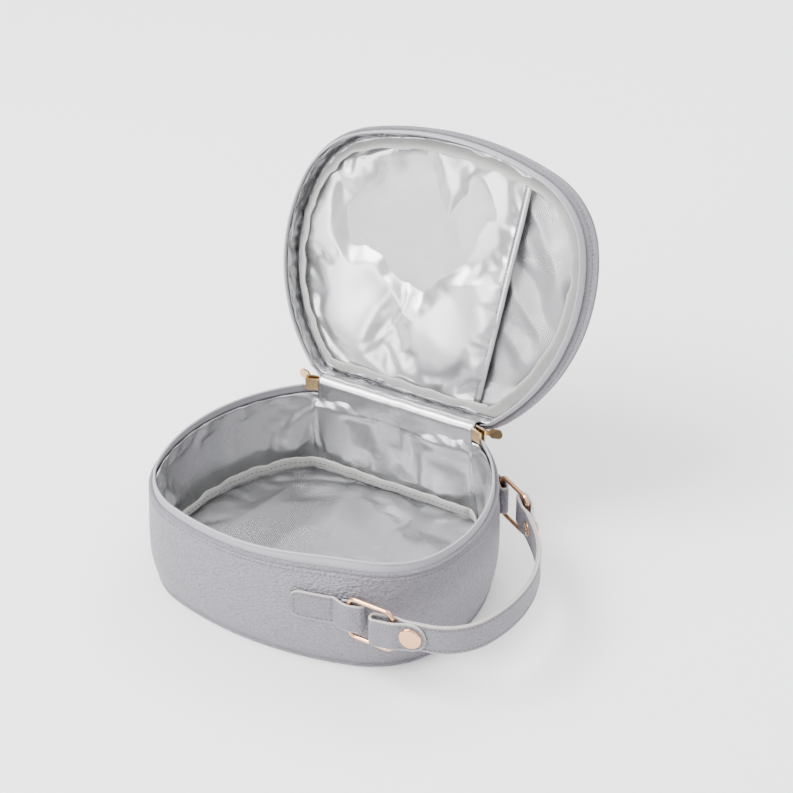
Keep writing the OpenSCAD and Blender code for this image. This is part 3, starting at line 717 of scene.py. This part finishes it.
def zip_half(lid):
    """Woven tape that leans in from the rim, with the nylon coil along its top edge."""
    ease, _, top, body = case_walls(lid)
    sizes = bpy.context.scene.bag_sizes
    low = top + 0.3

    def tape(s):
        rows = []
        for share in np.linspace(0, 1, 7):
            inset, z = ease(s, 2.3 + 1.5 * share, low + (TAPE_TOP - low) * share)
            rows.append((inset + 0.12 * smooth_noise(s, share * 8, 14, 3), z))
        return [(i - 0.3, z) for i, z in rows] + [(i + 0.3, z) for i, z in rows[::-1]]

    band = sweep(f"{body}_zip_tape_strip", curve_marks(2.5, 1), tape, [MATERIALS["tape"]], lid=lid)
    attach(band, body)
    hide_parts(f"{body}_zip_tape")

    def core(s):
        inset, z = ease(s, COIL_INSET, COIL_Z)
        return tube_profile(inset, z, COIL_R, 8)

    cord = sweep(f"{body}_zip_cord", curve_marks(2.5, 12.2), core, [MATERIALS["coil"]], lid=lid)
    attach(cord, body)
    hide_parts(f"{body}_zip_coil")
    # Teeth are set out level and then swung up with the lid, so that they stay square to its rim
    line = seam_line(curve_marks(2, 12.4), lambda s: ease(s, COIL_INSET, COIL_Z), False)
    teeth = along_lines(f"{body}_zip_teeth", [line], False, sizes.tooth_pitch / MM, (0.5, 0.5, 1.15),
                        MATERIALS["coil"])
    if lid:
        points = np.array([v.co for v in teeth.data.vertices]) / MM
        teeth.data.vertices.foreach_set("co", (swing(points) * MM).ravel())
        teeth.data.flip_normals()
        teeth.data.update()
    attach(teeth, body)


def lining_wall(lid):
    """Foil lining of the wall, cut slightly too long so that it falls in soft upright folds."""
    ease, floor, top, body = case_walls(lid)
    low, high = floor + FLOOR_STACK, (71.5 if lid else top + 1.0)
    step, columns = (2.6, 11) if lid else (3.0, 21)

    def at(s, share):
        belly = math.sin(math.pi * share)
        z = low + (high - low) * share
        fold = 1.1 * belly * (crease(s, z * 0.35, 30, 1 + 2 * lid) - 0.5)
        fold += 0.5 * share ** 2 * smooth_noise(s, z, 9, 6)
        if s < WALL_LENGTH and not lid:
            gathers = math.sin(s / 7.2 + 2.2 * smooth_noise(s, 0, 60, 9))
            fold += 1.5 * gathers * max(0, smooth_noise(s, 9, 50, 3)) * belly
        inset, z = ease(s, WALL_FILM_INSET + fold, z)
        seam = min(abs(s), abs(s - WALL_LENGTH), abs(s - LOOP_LENGTH))
        inset += 0.9 * math.exp(-(seam / 1.6) ** 2)
        inset -= 1.4 * max(0, share - 0.85) / 0.15
        return inset, z + 0.7 * max(0, share - 0.9) / 0.1 * smooth_noise(s, 1, 8, 2)

    obj = wall_sheet(f"{body}_lining_wall", loop_marks(step), columns, at, [MATERIALS["foil"]], closed=True,
                     lid=lid)
    settle_cloth(obj, 0.045, 3.0)
    thicken(obj, FILM_T, subdivide=1)
    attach(obj, body)
    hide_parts(f"{body}_wall_lining", f"{body}_back_lining")
    # Upright seams at both ends of the hinge edge's panel
    rises = np.linspace(low + 3, WALL_TOP - 1.5, 12)
    lines = []
    for s in (WALL_LENGTH, LOOP_LENGTH - 0.01):
        line = np.array([place(s, *ease(s, 6.95, z)) for z in rises])
        lines.append(swing(line) if lid else line)
    stitches(f"{body}_lining_seams", lines, body)
    # Wavy line of stitches that holds the lining to the zip tape
    def wavy(s):
        return ease(s, 4.6, high - 1.2 + 0.5 * smooth_noise(s, 0, 17, 8))

    line = seam_line(curve_marks(2, 8), wavy, lid)
    stitches(f"{body}_tape_stitching", [line], body)


def floor_lining():
    """Foil over foam on the bag's floor, loose and creased."""
    def height(x, y):
        r = off_centre(x, y, PAD_HALF)
        folds = max(0, crease(x + 0.5 * y, 0.8 * y - 0.3 * x, 62, 4) - 0.25)
        loose = 2.0 * (1 - r * r) + 2.4 * folds + 1.2 * smooth_noise(x, y, 44, 7)
        return FLOOR_STACK + loose * (1 - r ** 6)

    obj = clipped_sheet("base_foil_pad", PAD_INSET, height, 3, [MATERIALS["foil_scrim"]])
    settle_cloth(obj, 0.02, 2.0)
    thicken(obj, FILM_T, subdivide=1)
    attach(obj, "body")
    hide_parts("base_lining", "base_foam")


def pocket_edge(y):
    """Where the lid pocket's open edge runs: bowed, and further right towards the lid's front."""
    return 51 + 5 * (HALF_D - y) / CASE_D + 3 * math.sin(math.pi * (HALF_D - y) / CASE_D)


def lid_lining():
    """Foil over foam inside the lid, with its folds beside the pocket's open edge."""
    top = LID_FLOOR + FLOOR_STACK

    def height(x, y):
        r = off_centre(x, y, PAD_HALF)
        hollow = -1.6 * math.exp(-((x - 72) / 16) ** 2) * math.exp(-((y - 5) / 50) ** 2)
        folds = 4.6 * max(0, crease(x * 1.3 - 0.55 * y, y * 0.5 + 0.2 * x, 46, 6) - 0.2)
        swell = 3.0 * math.exp(-((x - 92) / 14) ** 2)
        near = min(max((x - 35) / 20, 0), 1)
        return top + (0.6 * (1 - r * r) + (hollow + folds + swell) * near) * (1 - r ** 8)

    obj = clipped_sheet("lid_foil_pad", PAD_INSET, height, 3, [MATERIALS["foil_scrim"]], lid=True)
    settle_cloth(obj, 0.02, 1.6)
    thicken(obj, FILM_T, subdivide=1)
    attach(obj, "lid")
    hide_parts("lid_lining", "lid_foam")


def lid_pocket():
    """Slip pocket sewn in round the lid, with a hemmed open edge that gapes a little."""
    top = LID_FLOOR + 11.0

    def height(x, y):
        depth = max(0, 1 - (y / 84) ** 2)
        gape = math.exp(-((pocket_edge(y) - x) / 30) ** 2) * depth
        near_fold = max(0, 1 - math.hypot((x + 22) / 58, (y - 48) / 46))
        fold = 5.0 * near_fold * (crease(x * 0.9 - y * 0.5, x * 0.5 + y * 0.6, 52, 3) - 0.2)
        r = off_centre(x, y, PAD_HALF)
        pull = 1.3 * smooth_noise(x, y, 60, 11) * (1 - r ** 6)
        return top + 4.2 * gape + fold * (1 - r ** 6) + 1.2 * (1 - r * r) + pull

    obj = clipped_sheet("lid_slip_pocket", 7.2, height, 3, [MATERIALS["foil"]], lid=True, cut_x=pocket_edge)
    settle_cloth(obj, 0.03, 3.0)
    thicken(obj, 0.4, subdivide=1)
    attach(obj, "lid")
    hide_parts("lid_pocket")
    # Folded hem along the open edge, and its stitches
    path = np.array([(pocket_edge(y), y, height(pocket_edge(y), y)) for y in np.linspace(-72, 78, 60)])
    sides = [(0.4, -0.7), (0.5, 0.5), (0.2, 0.9), (-4.6, 0.75), (-4.9, 0.2), (-4.6, -0.5)]
    points = [(p[0] + dx, p[1], p[2] + dz) for p in path for dx, dz in sides]
    faces = grid_faces(len(path), len(sides), wrap_columns=True)
    n = len(sides)
    faces += [tuple(range(n)), tuple(reversed([(len(path) - 1) * n + j for j in range(n)]))]
    uvs = [(p[0] * MM, p[1] * MM) for p in points]
    hem = put("lid_pocket_hem", swing(points), faces, uvs, [MATERIALS["foil"]])
    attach(hem, "lid")
    line = swing(np.array([(p[0] - 3.6, p[1], p[2] + 0.95) for p in path]))
    stitches("lid_pocket_stitching", [line], "lid")


def binding(lid):
    """Wide bound seam round the inside of the floor, wavy because it is gathered on the curves. In the
    body it stands along the wall, and in the lid it leans in over the floor."""
    ease, floor, _, body = case_walls(lid)
    low = floor + 8.9
    width = 10.5 if lid else 11.5
    lean = math.radians(52 if lid else 14)
    along, out = (math.sin(lean), math.cos(lean)), (math.cos(lean), -math.sin(lean))

    def section(s):
        inset = 6.9 + 1.3 * smooth_noise(s, 0, 17, 3) + 0.6 * smooth_noise(s, 5, 7, 5)
        z = low + 0.4 + 0.5 * smooth_noise(s, 2, 11, 8)
        if not lid:
            inset, _ = ease(s, inset, z)
        reach = width + 1.3 * smooth_noise(s, 3, 19, 7) + 0.6 * smooth_noise(s, 1, 6, 4)
        puff = 0.95 + 0.25 * smooth_noise(s, 8, 8, 2)
        tilt = 0.12 * smooth_noise(s, 6, 13, 9)
        shape = [(0, -0.6), (0.15, 0.4), (0.35, 0.9), (0.6, 1.1), (0.85, 0.9), (0.97, 0.45), (1.0, 0),
                 (0.96, -0.5), (0.8, -0.9), (0.5, -0.8), (0.2, -0.7)]
        return [(inset + (a * along[0] + tilt * a) * reach + d * puff * out[0],
                 z + a * along[1] * reach + d * puff * out[1]) for a, d in shape]

    obj = sweep(f"{body}_bound_seam", loop_marks(BINDING_STEP), section, [MATERIALS["binding"]], closed=True,
                lid=lid)
    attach(obj, body)
    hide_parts(f"{body}_binding")

    def crest(s):
        inset, z = section(s)[3]
        return inset + 0.1 * out[0], z + 0.1 * out[1]

    line = seam_line(loop_marks(BINDING_STEP), crest, lid)
    stitches(f"{body}_binding_stitching", [line], body, pitch=3.6)


def hinge_strip(name, r, thickness, half_width, low, reach, material, bulge):
    """A strip from the body's back wall round the hinge line and on along the lid's wall."""
    up = np.array([math.sin(OPEN_ANGLE), math.cos(OPEN_ANGLE)])
    inward = np.array([-math.cos(OPEN_ANGLE), math.sin(OPEN_ANGLE)])
    hinge = np.array([HALF_D, ZIP_Z])
    rise = [hinge + np.array([-r, -d]) for d in np.linspace(ZIP_Z - low, 0.5, 8)]
    angles = np.linspace(math.pi, math.pi - OPEN_ANGLE, 9) if r > 1 else [math.pi]
    turn = [hinge + r * np.array([math.cos(a), math.sin(a)]) for a in angles]
    run = [hinge + r * inward + d * up for d in np.linspace(0.5, reach, 8)]
    path, marks = smooth_line(np.array(rise + turn + run), 1.2)
    side = -sides_of(path)
    xs = np.linspace(-half_width, half_width, round(2 * half_width / 2.5) + 1)
    points, uvs = [], []
    for i in range(len(path)):
        for x in xs:
            fine = 0.5 * bulge * smooth_noise(x, marks[i] * 0.4, 5, 8)
            sway = bulge * smooth_noise(x, marks[i], 11, 5) + fine
            q = path[i] + side[i] * sway
            points.append((x, q[0], q[1]))
            uvs.append((x * MM, marks[i] * MM))
    obj = put(name, points, grid_faces(len(path), len(xs)), uvs, [material], recalc=False)
    thicken(obj, thickness, subdivide=1)
    return obj


def make_hinge():
    """Leather outside and foil inside, both bent between the body and the lid."""
    outer = hinge_strip("hinge_leather_strip", 0.9, 0.9, 59.5, 65.2, 11.6, MATERIALS["leather"], 0.25)
    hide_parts("hinge_panel")
    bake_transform(outer)
    inner = hinge_strip("hinge_foil_strip", 5.0, 0.4, 60.0, 63.5, 13.0, MATERIALS["foil"], 0.55)
    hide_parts("hinge_lining")
    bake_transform(inner)


# ---- Rings, tabs and handle ----------------------------------------------------------------------------
HANDLE_Z, STRAP_W, RING_L = 46.0, 21.0, 32.0
FRONT_S, REAR_S = SIDE_MID + 98, SIDE_MID - 86
TAB_OUT, TAB_BACK, TAB_AHEAD, PATCH_L = 4.5, 7.0, 7.0, 31.0
TAB_T, TAB_LOOP_R = 1.7, 2.6
STRAP_T, BACKING_T, CAP_R, FOLD_L, LOOP_R = 2.0, 1.0, 7.5, 11.0, 2.4
STRAP_HEADINGS = 12.0, 70.0, 132.0      # degrees: at the front ring, at the bend and at the rear ring
RIVET_L = LOOP_R + STRAP_T + CAP_R + 0.3
FLAP_L = RIVET_L + CAP_R + 2.5
STRAIGHT_L = FLAP_L + 0.5
STITCH_SETBACK = 2.6     # from the strap's edge
RIVET_SIDES = 48


def turned(direction, degrees):
    a = math.radians(degrees)
    return np.array([direction[0] * math.cos(a) - direction[1] * math.sin(a),
                     direction[0] * math.sin(a) + direction[1] * math.cos(a)])


def ring_places():
    """Bars of both rings and the directions of tabs and rings, as in the CAD model."""
    places = {}
    for key, s, sign, swing_by in (("front", FRONT_S, -1, -20), ("rear", REAR_S, 1, 20)):
        p, n = wall(s)
        bar = p[0] + TAB_OUT * n[0]
        tab = sign * np.array([n[0][1], -n[0][0]])
        ring = turned(tab, swing_by)
        places[key] = {"s": s, "n": n[0], "bar": bar, "tab": tab, "end": bar + RING_L * ring, "sign": sign}
    return places


def ring_tab(key, info):
    """One strip of strap leather: a patch sewn to the wall, then a loop round the ring's near bar."""
    bar, tab, n, sign = info["bar"], info["tab"], info["n"], info["sign"]
    r = TAB_LOOP_R
    fold = bar + TAB_AHEAD * tab
    over = []
    for d in np.linspace(PATCH_L + 2, 3.5, 12):
        s = info["s"] - sign * (TAB_BACK + d)
        p, m = wall(s)
        inset, _ = eased(s, 0, HANDLE_Z)
        over.append(p[0] + (1.3 - inset) * m[0])
    over += [bar - 7.5 * tab - 1.6 * n, bar - 4 * tab + 0.9 * n, bar + (r - 0.1) * n, fold + r * n - 1.5 * tab]
    turn = [fold + r * (math.cos(a) * n + math.sin(a) * tab) for a in np.linspace(0.45, math.pi - 0.45, 6)]
    under = [fold - r * n - 1.5 * tab, bar - r * n, bar - 5 * tab - (r + 0.1) * n]
    line = smooth_line(np.array(over + turn + under), 0.8)
    total = line[1][-1]
    half = round_end(total, 7.5, STRAP_W / 2, both=False)
    obj = ribbon(f"{key}_tab_leather", line, half, TAB_T, HANDLE_Z)
    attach(obj, "body")
    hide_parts(f"{key}_ring_tab")
    # Stitched box on the patch
    path = line[0]
    side = sides_of(path)
    out_sign = 1 if np.dot(side[10], n) > 0 else -1
    keep = [i for i, mark in enumerate(line[1]) if 2.6 <= mark <= PATCH_L - 3]
    upper, lower = [], []
    for i in keep:
        q = path[i] + side[i] * out_sign * 0.95
        h = min(half(line[1][i]) - 2.4, STRAP_W / 2 - 2.4)
        upper.append((q[0], q[1], HANDLE_Z + h))
        lower.append((q[0], q[1], HANDLE_Z - h))
    end_box = [(upper[-1][0], upper[-1][1], z) for z in np.linspace(HANDLE_Z + 8.1, HANDLE_Z - 8.1, 9)]
    start_box = [(upper[0][0], upper[0][1], z) for z in np.linspace(upper[0][2], lower[0][2], 7)]
    stitches(f"{key}_tab_stitching", [upper, lower, end_box, start_box], "body")


def strap_line(front_end, rear_end):
    """Points and directions of the strap's inner line from bar to bar: straight, two arcs, straight."""
    a, b, c = [math.radians(v) for v in STRAP_HEADINGS]

    def step(p, q):
        return np.array([math.sin(q) - math.sin(p), math.cos(p) - math.cos(q)])

    def direction(v):
        return np.array([math.cos(v), math.sin(v)])

    gap = rear_end - front_end - STRAIGHT_L * direction(a) - STRAIGHT_L * direction(c)
    ra, rb = np.linalg.solve(np.stack([step(a, b), step(b, c)], 1), gap)
    start = front_end + STRAIGHT_L * direction(a)
    middle = start + ra * step(a, b)
    rows = [(front_end, a), (start, a)]
    rows += [(start + ra * step(a, v), v) for v in np.linspace(a, b, 15)[1:]]
    rows += [(middle + rb * step(b, v), v) for v in np.linspace(b, c, 21)[1:]]
    rows += [(rear_end, c)]
    return rows, direction(a), -direction(c)


def make_strap(places):
    """The strap, folded round both rings, its backing and its stitches."""
    front_end, rear_end = places["front"]["end"], places["rear"]["end"]
    rows, front_dir, rear_dir = strap_line(front_end, rear_end)

    def folded(bar, towards):
        """From the flap's tip back to the bar, round the loop and on to the strap's inner layer."""
        out = (1 if towards is front_dir else -1) * np.array([towards[1], -towards[0]])
        r = LOOP_R + STRAP_T / 2
        spots = [(FLAP_L, 1.0), (FLAP_L - 5, 1.0), (14, 1.0), (9.5, 1.1), (6, 1.9), (3, 2.9), (0, r),
                 (-5, r), (-FOLD_L + 1, r)]
        spots += [(-FOLD_L - r * math.sin(v), r * math.cos(v)) for v in np.linspace(0.3, math.pi - 0.3, 7)]
        spots += [(-FOLD_L + 1, -r), (-5, -r), (0, -r), (3, -2.9), (6, -1.9), (9.5, -1.1), (14, -1.0)]
        return [bar + d * towards + o * out for d, o in spots]

    middle = [p + 1.0 * np.array([-math.sin(v), math.cos(v)]) for p, v in rows[1:-1]]
    points = folded(front_end, front_dir) + middle + folded(rear_end, rear_dir)[::-1]
    line = smooth_line(np.array(points), 1.0)
    total = line[1][-1]
    half = round_end(total, STRAP_W / 2 - 0.2, STRAP_W / 2)
    strap = ribbon("handle_leather_strap", line, half, STRAP_T - 0.15, HANDLE_Z)
    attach(strap, "handle")
    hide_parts("handle_strap")
    # The backing starts and ends a little way in from the bars, on the strap's inside
    front_in, rear_in = [np.array([-d[1], d[0]]) for d in (front_dir, rear_dir)]
    inner = [front_end + 4.9 * front_dir + 2.9 * front_in, front_end + 9 * front_dir + 2.5 * front_in]
    inner += [p + 2.45 * np.array([-math.sin(v), math.cos(v)]) for p, v in rows[1:-1]]
    inner += [rear_end + 9 * rear_dir - 2.5 * rear_in, rear_end + 4.9 * rear_dir - 2.9 * rear_in]
    back_line = smooth_line(np.array(inner), 1.2)
    back = ribbon("handle_leather_backing", back_line, lambda mark: STRAP_W / 2 - 0.4, BACKING_T - 0.1,
                  HANDLE_Z)
    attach(back, "handle")
    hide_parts("handle_backing")
    # Two rows of stitches on the outside and the inside, and round both flaps
    path, marks = line
    side = sides_of(path)
    reach = STRAP_W / 2 - STITCH_SETBACK
    skin = STRAP_T / 2 + 0.02
    lines = []
    loop = FLAP_L + FOLD_L + 2
    for sign in (-1, 1):
        lines.append([(*(path[i] + side[i] * skin), HANDLE_Z + sign * reach)
                      for i in range(len(path)) if loop + FLAP_L + 4 < marks[i] < total - loop - FLAP_L - 4])
        for a, b in ((5, FLAP_L - 5), (total - FLAP_L + 5, total - 5)):
            lines.append([(*(path[i] - side[i] * skin),
                           HANDLE_Z + sign * max(min(half(marks[i]) - 2.4, reach), 0.1))
                          for i in range(len(path)) if a <= marks[i] <= b])
    b_path = back_line[0]
    b_side = sides_of(b_path)
    for sign in (-1, 1):
        lines.append([(*(b_path[i] - b_side[i] * 0.5), HANDLE_Z + sign * reach)
                      for i in range(4, len(b_path) - 4)])
    stitches("handle_stitching", lines, "handle")


def make_rivets(places):
    """Domed caps on the flaps and small eyelets inside the strap."""
    _, front_dir, rear_dir = strap_line(places["front"]["end"], places["rear"]["end"])
    # Profiles as (radius, distance out from the strap's middle)
    cap = [(0, 2.05), (CAP_R - 0.1, 2.05), (CAP_R, 2.2), (CAP_R, 2.7), (CAP_R - 0.35, 3.15),
           (CAP_R - 1.2, 3.45), (CAP_R - 3, 3.65), (CAP_R - 5, 3.72), (0, 3.75)]
    post = [(1.3, -3.0), (5.0, -3.02), (5.1, -3.3), (4.8, -3.7), (4.1, -4.05), (3.2, -4.2), (2.4, -4.15),
            (1.9, -3.95), (1.5, -3.6), (1.3, -3.3)]
    for key, bar, towards, sign in (("front", places["front"]["end"], front_dir, 1),
                                    ("rear", places["rear"]["end"], rear_dir, -1)):
        out = sign * np.array([towards[1], -towards[0]])
        centre = bar + RIVET_L * towards
        for part, profile, hole in (("cap", cap, False), ("post", post, True)):
            points = []
            rings = profile if hole else profile[1:-1]
            for radius, d in rings:
                for k in range(RIVET_SIDES):
                    a = 2 * math.pi * k / RIVET_SIDES
                    q = centre + radius * math.cos(a) * towards + d * out
                    points.append((q[0], q[1], HANDLE_Z + radius * math.sin(a)))
            faces = grid_faces(len(rings), RIVET_SIDES, wrap_rows=hole, wrap_columns=True)
            if not hole:
                for ring, d in ((0, cap[0][1]), (len(rings) - 1, cap[-1][1])):
                    q = centre + d * out
                    points.append((q[0], q[1], HANDLE_Z))
                    hub = len(points) - 1
                    start = ring * RIVET_SIDES
                    faces += [(hub, start + k, start + (k + 1) % RIVET_SIDES) for k in range(RIVET_SIDES)]
            obj = put(f"{key}_rivet_{part}_metal", points, faces, None, [MATERIALS["metal"]])
            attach(obj, "handle")
            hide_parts(f"{key}_rivet_{part}")


def finish_metal():
    """The wire rings, the sliders and their pulls keep their CAD shape and get their plating."""
    plated = [(node, "metal") for node in ("front_ring", "rear_ring")]
    plated += [(node, "slider") for node in ("left_zip_slider", "right_zip_slider", "left_zip_pull",
                                             "right_zip_pull")]
    for node, finish in plated:
        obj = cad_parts[node]
        obj.data.materials.clear()
        obj.data.materials.append(MATERIALS[finish])


# ---- Stage ---------------------------------------------------------------------------------------------
def area_light(name, where, aim, size, power):
    light = bpy.data.lights.new(name, "AREA")
    light.shape = "DISK"
    light.size = size
    light.energy = power
    obj = bpy.data.objects.new(name, light)
    obj.location = where
    obj.rotation_euler = (Vector(aim) - Vector(where)).to_track_quat("-Z", "Y").to_euler()
    bpy.context.scene.collection.objects.link(obj)


def make_floor():
    reach = 6.0
    corners = [(-reach, -reach, 0), (reach, -reach, 0), (reach, reach, 0), (-reach, reach, 0)]
    mesh = bpy.data.meshes.new("floor")
    mesh.from_pydata(corners, [], [(0, 1, 2, 3)])
    mesh.materials.append(new_material("Matt white table paint", hex_linear("#FBFBFC"), Roughness=0.7)[0])
    floor = bpy.data.objects.new("floor", mesh)
    bpy.context.scene.collection.objects.link(floor)


def make_room():
    """Soft light all round, and three large lamps."""
    world = bpy.data.worlds.new("Soft studio")
    bpy.context.scene.world = world
    world.use_nodes = True
    t = world.node_tree
    t.nodes.clear()
    around = add_node(t, "ShaderNodeTexCoord").outputs["Generated"]
    direction = add_node(t, "ShaderNodeSeparateXYZ", {"Vector": around})
    # The low walls of the room are darker than its ceiling, which gives the film and the plating their contrast
    shade = add_node(t, "ShaderNodeValToRGB", {"Fac": direction.outputs["Z"]})
    shade.color_ramp.elements[0].position = 0.0
    shade.color_ramp.elements[0].color = (0.3, 0.3, 0.31, 1)
    shade.color_ramp.elements[1].position = 0.6
    shade.color_ramp.elements[1].color = (1.0, 1.0, 1.0, 1)
    for position, grey in ((0.12, 0.42), (0.2, 0.8), (0.32, 0.72)):
        step = shade.color_ramp.elements.new(position)
        step.color = (grey, grey, grey * 1.01, 1)
    strength = bpy.context.scene.bag_sizes.world_light
    glow = add_node(t, "ShaderNodeBackground", {"Color": shade.outputs[0]}, Strength=strength)
    add_node(t, "ShaderNodeOutputWorld", {"Surface": glow.outputs[0]})
    area_light("key", (-0.9, -0.7, 1.7), (0, 0, 0.05), 1.2, 66)
    area_light("front", (-0.75, -1.6, 0.75), (0, 0.05, 0.1), 0.6, 13)
    area_light("back", (0.2, 1.5, 1.6), (0, 0, 0.1), 1.2, 28)


def make_camera():
    camera = bpy.data.cameras.new("camera")
    camera.sensor_width = 36
    camera.lens = 122.97
    camera.clip_end = 30
    eye = bpy.data.objects.new("camera", camera)
    target = Vector((0.01429, 0.06711, 0.10385))
    azimuth, elevation, distance = math.radians(29.67), math.radians(33.48), 1.7949
    away = Vector((math.sin(azimuth) * math.cos(elevation), -math.cos(azimuth) * math.cos(elevation),
                   math.sin(elevation)))
    eye.location = target + distance * away
    eye.rotation_euler = (-away).to_track_quat("-Z", "Y").to_euler()
    bpy.context.scene.collection.objects.link(eye)
    bpy.context.scene.camera = eye


# ---- Add-on --------------------------------------------------------------------------------------------
class BagSizes(bpy.types.PropertyGroup):
    wall_bulge: FloatProperty(name="Wall bulge", description="How far the soft wall swells", default=0.0012,
                              unit="LENGTH")
    foot_tuck: FloatProperty(name="Foot tuck", description="How far the wall's foot is drawn in",
                             default=0.0042, unit="LENGTH")
    rim_lean: FloatProperty(name="Rim lean", description="How far the front right rim leans inwards",
                            default=0.004, unit="LENGTH")
    stitch_pitch: FloatProperty(name="Stitch pitch", description="Distance between stitches", default=0.0030,
                                unit="LENGTH")
    stitch_length: FloatProperty(name="Stitch length", description="Length of thread that shows",
                                 default=0.0022, unit="LENGTH")
    thread_radius: FloatProperty(name="Thread radius", description="Radius of the thread", default=0.00028,
                                 unit="LENGTH")
    tooth_pitch: FloatProperty(name="Coil pitch", description="Distance between turns of the zip's coil",
                               default=0.0014, unit="LENGTH")
    world_light: FloatProperty(name="Room light", description="Strength of the soft light all round",
                               default=1.95)


class BagFinishes(bpy.types.PropertyGroup):
    leather: FloatVectorProperty(name="Leather", description="Lilac-grey leathercloth", subtype="COLOR", size=3,
                                 default=hex_linear("#85828A"))
    foil: FloatVectorProperty(name="Foil", description="Aluminised lining", subtype="COLOR", size=3,
                              default=hex_linear("#C5C5C8"))
    tape: FloatVectorProperty(name="Zip tape", description="Woven zip tape and coil", subtype="COLOR", size=3,
                              default=hex_linear("#A6A5AC"))
    binding: FloatVectorProperty(name="Binding", description="Warm light-grey binding tape", subtype="COLOR",
                                 size=3, default=hex_linear("#B8B9B5"))
    thread: FloatVectorProperty(name="Thread", description="Grey-brown sewing thread", subtype="COLOR", size=3,
                                default=hex_linear("#6A6361"))
    edge: FloatVectorProperty(name="Edge paint", description="Cream-grey edge paint", subtype="COLOR", size=3,
                              default=hex_linear("#B0ABA8"))
    metal: FloatVectorProperty(name="Metal", description="Rose-gold plating", subtype="COLOR", size=3,
                               default=hex_linear("#E3B28B"))


class BAG_OT_materials(bpy.types.Operator):
    """Makes the bag's materials"""
    bl_idname = "bag.materials"
    bl_label = "Materials"

    def execute(self, context):
        make_materials()
        return {"FINISHED"}


class BAG_OT_case(bpy.types.Operator):
    """Makes the leather walls, panels and pipings of the body and the lid"""
    bl_idname = "bag.case"
    bl_label = "Leather case"

    def execute(self, context):
        for lid in (False, True):
            leather_wall(lid)
            outer_panel(lid)
            pipings(lid)
        return {"FINISHED"}


class BAG_OT_zip(bpy.types.Operator):
    """Makes both halves of the zip"""
    bl_idname = "bag.zip"
    bl_label = "Zip"

    def execute(self, context):
        zip_half(False)
        zip_half(True)
        return {"FINISHED"}


class BAG_OT_lining(bpy.types.Operator):
    """Makes the foil linings, their bound seams and the lid's slip pocket"""
    bl_idname = "bag.lining"
    bl_label = "Foil lining"

    def execute(self, context):
        lining_wall(False)
        lining_wall(True)
        floor_lining()
        lid_lining()
        lid_pocket()
        binding(False)
        binding(True)
        return {"FINISHED"}


class BAG_OT_hinge(bpy.types.Operator):
    """Makes the fabric hinge between the body and the lid"""
    bl_idname = "bag.hinge"
    bl_label = "Fabric hinge"

    def execute(self, context):
        make_hinge()
        return {"FINISHED"}


class BAG_OT_handle(bpy.types.Operator):
    """Makes the ring tabs, the strap handle and its rivets, and finishes the rings and sliders"""
    bl_idname = "bag.handle"
    bl_label = "Handle"

    def execute(self, context):
        places = ring_places()
        for key, info in places.items():
            ring_tab(key, info)
        make_strap(places)
        make_rivets(places)
        finish_metal()
        return {"FINISHED"}


class BAG_OT_stage(bpy.types.Operator):
    """Makes the floor, the lights and the camera"""
    bl_idname = "bag.stage"
    bl_label = "Stage"

    def execute(self, context):
        make_floor()
        make_room()
        make_camera()
        return {"FINISHED"}


OPERATORS = (BAG_OT_materials, BAG_OT_case, BAG_OT_zip, BAG_OT_lining, BAG_OT_hinge, BAG_OT_handle,
             BAG_OT_stage)


class BAG_PT_panel(bpy.types.Panel):
    """Lists the bag's pieces, sizes and colours"""
    bl_idname = "BAG_PT_panel"
    bl_label = "Cooler bag"
    bl_space_type = "VIEW_3D"
    bl_region_type = "UI"
    bl_category = "Cooler bag"

    def draw(self, context):
        for group in (context.scene.bag_sizes, context.scene.bag_finishes):
            for name in group.__annotations__:
                self.layout.prop(group, name)
        for operator in OPERATORS:
            self.layout.operator(operator.bl_idname)


CLASSES = (BagSizes, BagFinishes, *OPERATORS, BAG_PT_panel)


def register():
    for c in CLASSES:
        bpy.utils.register_class(c)
    bpy.types.Scene.bag_sizes = bpy.props.PointerProperty(type=BagSizes)
    bpy.types.Scene.bag_finishes = bpy.props.PointerProperty(type=BagFinishes)


def unregister():
    del bpy.types.Scene.bag_finishes
    del bpy.types.Scene.bag_sizes
    for c in reversed(CLASSES):
        bpy.utils.unregister_class(c)


def main():
    register()
    for step in (bpy.ops.bag.materials, bpy.ops.bag.case, bpy.ops.bag.zip, bpy.ops.bag.lining,
                 bpy.ops.bag.hinge, bpy.ops.bag.handle, bpy.ops.bag.stage):
        step()


if __name__ == "__main__":
    main()
